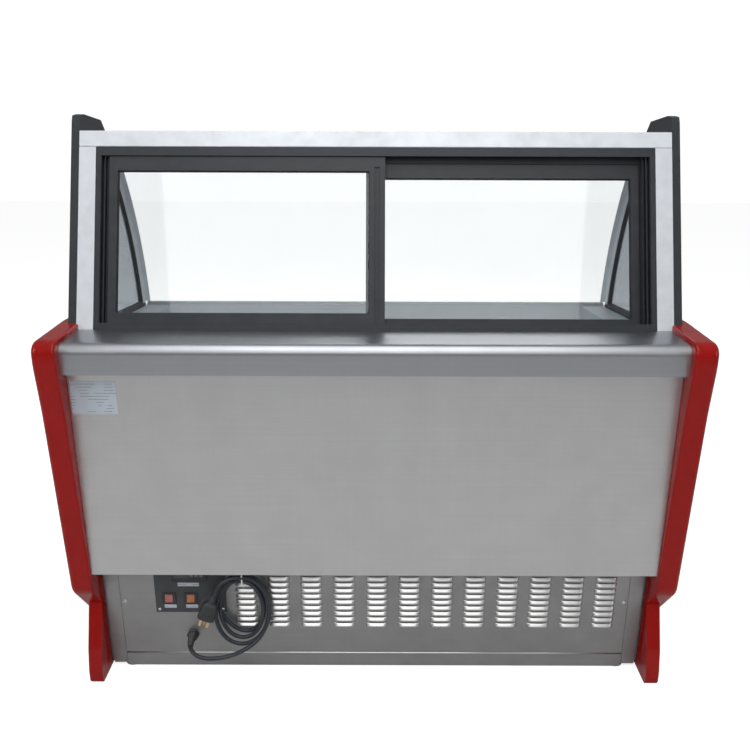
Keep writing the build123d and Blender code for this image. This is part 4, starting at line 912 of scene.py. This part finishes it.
# rolled lip along the foot of the pressed panel, in the brighter steel as a painted highlight
lipSetup = {"sunk": 0.0003, "proud": 0.0016, "half": 0.0018, "steps": 8, "inset": 0.4}
lipRings = []
for x in (panelLow.x, panelLow.x + lipSetup["inset"], panelHigh.x - lipSetup["inset"], panelHigh.x):
    ring = []
    for step in range(lipSetup["steps"] + 1):
        turn = step * math.pi / lipSetup["steps"]
        y = sheetFront + lipSetup["sunk"] - lipSetup["proud"] * math.sin(turn)
        ring.append((x, y, panelLow.z + lipSetup["half"] - lipSetup["half"] * math.cos(turn)))
    lipRings.append(ring)
panelLip = addPiece("panelLip", sweepSections("panelLip", lipRings))
panelLip.data.materials.append(finishes["paintedHighlightSteel"])
for piece in (pressedPanel, hoodRows, panelLip):
    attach(piece, "cabinet")
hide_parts("louvre_panel")
print("louvre panel made:", len(hoodRows.data.polygons), "hood faces")

# ---------- cross-headed screws

screwSetup = {"panelRadius": 0.0045, "plateRadius": 0.0035, "seed": 11}


def screwHead(name, radius, tall):
    # domed head with a cross recess
    bm = bmesh.new()
    sides = 24
    profile = [(1.0, 0.0), (1.0, 0.25), (0.93, 0.5), (0.78, 0.75), (0.52, 0.92), (0.26, 0.99)]
    loops = []
    for part, rise in profile:
        loop = []
        for n in range(sides):
            turnAngle = 2 * math.pi * n / sides
            reach = radius * part
            x, z = reach * math.cos(turnAngle), reach * math.sin(turnAngle)
            sunk = 0.0
            if part < 0.6 and min(abs(x), abs(z)) < radius * 0.13:
                sunk = 0.5
            loop.append(bm.verts.new((x, -tall * (rise - sunk), z)))
        loops.append(loop)
    for low, high in zip(loops, loops[1:]):
        for n in range(sides):
            bm.faces.new((low[n], low[(n + 1) % sides], high[(n + 1) % sides], high[n]))
    bm.faces.new(loops[0])
    tip = bm.verts.new((0, -tall * 0.4, 0))
    for n in range(sides):
        bm.faces.new((loops[-1][n], loops[-1][(n + 1) % sides], tip))
    return addPiece(name, meshFromBm(name, bm), smooth=False)


def spotMesh(name, spots):
    mesh = bpy.data.meshes.new(name)
    mesh.from_pydata(spots, [], [])
    return mesh


edgeX = panelHigh.x - 0.008
panelSpots = [(side * edgeX, sheetFront, 0.176) for side in (-1, 1)]
plateFace = plateLow.y
plateSpots = [
    (x, plateFace, z)
    for x in (plateLow.x + 0.008, plateHigh.x - 0.008)
    for z in (plateLow.z + 0.008, plateHigh.z - 0.008)
]
for name, radius, tall, spots in (
    ("panelScrews", screwSetup["panelRadius"], 0.0024, panelSpots),
    ("plateScrews", screwSetup["plateRadius"], 0.0020, plateSpots),
):
    head = screwHead("screwHead", radius, tall)
    row = bakeTree(name, turnedSpots, spotMesh(name, spots), {
        "Part": head, "Turn": math.pi / 2, "Seed": screwSetup["seed"], "Finish": finishes["brightSteel"],
    })
    bpy.data.objects.remove(head)
    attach(row, "cabinet")
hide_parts("screws")
print("screws made")

# ---------- glazing seals of the sliding doors

sealSetup = {"wide": 0.0014, "proud": 0.0004, "lean": 20.9, "foot": (0.0, -0.262, 0.803)}
leanAngle = math.radians(sealSetup["lean"])
upLean = Vector((0, math.sin(leanAngle), math.cos(leanAngle)))
inLean = Vector((0, math.cos(leanAngle), -math.sin(leanAngle)))
windowFoot = Vector(sealSetup["foot"])


def leanPlace(x, up, inward):
    return windowFoot + Vector((x, 0, 0)) + upLean * up + inLean * inward


def leanSpan(node):
    # how far a CAD node reaches on the leaning plane
    points = [vertex.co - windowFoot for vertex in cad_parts[node].data.vertices]
    ups = [point.dot(upLean) for point in points]
    inners = [point.dot(inLean) for point in points]
    xs = [point.x for point in points]
    return min(xs), max(xs), min(ups), max(ups), min(inners), max(inners)


for side in ("left", "right"):
    x0, x1, up0, up1, in0, in1 = leanSpan(f"{side}_door_glass")
    inset = 0.007
    x0, x1, up0, up1 = x0 + inset, x1 - inset, up0 + inset, up1 - inset
    bm = bmesh.new()
    for face, outward in ((in0, -1), (in1, 1)):
        profile = [(0.0, 0.0), (0.0, 1.0), (0.35, 1.4), (0.75, 1.2), (1.0, 0.0)]
        corners = [(x0, up0, 1, 1), (x1, up0, -1, 1), (x1, up1, -1, -1), (x0, up1, 1, -1)]
        loops = []
        for x, up, signX, signUp in corners:
            loops.append([
                bm.verts.new(leanPlace(
                    x + signX * part * sealSetup["wide"],
                    up + signUp * part * sealSetup["wide"],
                    face + outward * rise * 0.0012,
                ))
                for part, rise in profile
            ])
        for k in range(4):
            a, b = loops[k], loops[(k + 1) % 4]
            for n in range(len(profile)):
                m = (n + 1) % len(profile)
                bm.faces.new((a[n], a[m], b[m], b[n]))
    seal = addPiece(f"{side}PaneSeal", meshFromBm(f"{side}PaneSeal", bm), smooth=False)
    seal.data.materials.append(finishes["sealRubber"])
    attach(seal, f"{side}_door")
print("door seals made")

# ---------- angle strips that hold the curved pane at each end

stripSetup = {
    "radius": 0.769, "wide": 0.014, "deep": 0.021, "thick": 0.002, "steps": 44, "gap": 0.0006,
    "footTrim": 0.012, "headTrim": 0.062, "edge": 0.0006, "root": 0.0008,
}


def stripArc():
    # centre of the pane's inner face and the angles it runs between
    points = [vertex.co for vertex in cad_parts["front_glass"].data.vertices]
    lowZ, highZ = min(p.z for p in points), max(p.z for p in points)
    foot = Vector((0, min(p.y for p in points if p.z < lowZ + 1e-4), lowZ))
    head = Vector((0, min(p.y for p in points if p.z > highZ - 1e-4), highZ))
    chord = head - foot
    bow = math.sqrt(stripSetup["radius"] ** 2 - (chord.length / 2) ** 2)
    inward = Vector((0, -chord.z, chord.y)).normalized()
    centre = (head + foot) / 2 + inward * bow
    angles = [math.atan2(end.z - centre.z, end.y - centre.y) for end in (foot, head)]
    return centre, angles[0] + stripSetup["footTrim"], angles[1] - stripSetup["headTrim"]


def angleStrip(name, side):
    centre, first, last = stripArc()
    outer = abs(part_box("front_glass")[0].x) - stripSetup["gap"]
    edge, root = stripSetup["edge"], stripSetup["root"]
    wide, deep, thick = stripSetup["wide"], stripSetup["deep"], stripSetup["thick"]
    radius = stripSetup["radius"] - stripSetup["gap"]
    # corners of the angle: distance in from the end, distance in from the pane
    corners = [
        (0, 0), (wide - edge, 0), (wide, edge), (wide, thick), (thick + root, thick),
        (thick, thick + root), (thick, deep - edge), (thick - edge, deep), (0, deep),
    ]
    rings = []
    for step in range(stripSetup["steps"] + 1):
        angle = first + (last - first) * step / stripSetup["steps"]
        rings.append([
            (
                side * (outer - along),
                centre.y + (radius - within) * math.cos(angle),
                centre.z + (radius - within) * math.sin(angle),
            )
            for along, within in corners
        ])
    piece = addPiece(name, sweepSections(name, rings), smooth=False)
    piece.data.materials.append(finishes["glazingStripPaintedLight"])
    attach(piece, "cabinet")
    return piece


leftStrip = angleStrip("leftStrip", -1)
rightStrip = angleStrip("rightStrip", 1)
print("angle strips made:", len(leftStrip.data.polygons) + len(rightStrip.data.polygons), "faces")

# ---------- floor, light and surroundings

floorMesh = bpy.data.meshes.new("studioFloor")
floorMesh.from_pydata([(-9, -9, 0), (9, -9, 0), (9, 9, 0), (-9, 9, 0)], [], [(0, 1, 2, 3)])
studioFloor = addPiece("studioFloor", floorMesh, smooth=False)
def seenDirectly(tree):
    # 1 for what the camera sees itself or straight through glass, 0 in reflections and bounced light
    rays = tree.nodes.new("ShaderNodeLightPath")
    seen = mathNode(tree, "MAXIMUM", rays.outputs["Is Camera Ray"], rays.outputs["Is Transmission Ray"])
    bounces = mathNode(tree, "ADD", rays.outputs["Glossy Depth"], rays.outputs["Diffuse Depth"])
    return mathNode(tree, "MULTIPLY", seen, mathNode(tree, "LESS_THAN", bounces, 0.5))


floorLook = Finish("floorPaper", Roughness=0.95)
paper = floorLook.group(surfaceGrit, Fineness=300.0)
floorLook.colour(floorLook.blendColours(paper["Speckle"], (0.62, 0.62, 0.62), (0.66, 0.66, 0.66)))
floorLook.shader.inputs["Emission Color"].default_value = (1.0, 1.0, 1.0, 1.0)
lift = mathNode(floorLook.tree, "MULTIPLY", seenDirectly(floorLook.tree), 0.74)
floorLook.tree.links.new(
    mathNode(floorLook.tree, "ADD", lift, 0.04), floorLook.shader.inputs["Emission Strength"]
)
studioFloor.data.materials.append(floorLook.material)

# pale backdrop seen directly and through the glass, darker room in the reflections
world = bpy.data.worlds.new("paleStudio")
world.use_nodes = True
worldTree = world.node_tree
backdrop = worldTree.nodes["Background"]
backdrop.inputs["Color"].default_value = (0.98, 0.985, 1.0, 1.0)
lift = mathNode(worldTree, "MULTIPLY", seenDirectly(worldTree), 0.76)
worldTree.links.new(mathNode(worldTree, "ADD", lift, 0.28), backdrop.inputs["Strength"])
scene.world = world
scene.view_settings.view_transform = "Standard"

lamps = [
    # name, place, aim, size, watts
    ("overheadBox", (0.0, -1.0, 3.1), (0.0, -0.2, 0.8), 2.2, 34),
    ("leftBox", (-2.9, -1.9, 2.0), (-0.2, -0.3, 0.6), 1.3, 22),
    ("rightBox", (2.9, -1.8, 1.6), (0.2, -0.3, 0.6), 1.3, 13),
    ("backBox", (0.0, -3.6, 3.3), (0.0, -0.2, 0.7), 3.0, 46),
    ("frontBox", (0.6, 3.0, 2.6), (0.0, 0.2, 0.7), 2.0, 14),
]
for name, place, aim, size, watts in lamps:
    light = bpy.data.lights.new(name, "AREA")
    light.shape = "SQUARE"
    light.size = size
    light.energy = watts
    lamp = bpy.data.objects.new(name, light)
    scene.collection.objects.link(lamp)
    lamp.location = place
    lamp.rotation_euler = (Vector(aim) - Vector(place)).to_track_quat("-Z", "Y").to_euler()
print("studio made")

bpy.context.view_layer.update()
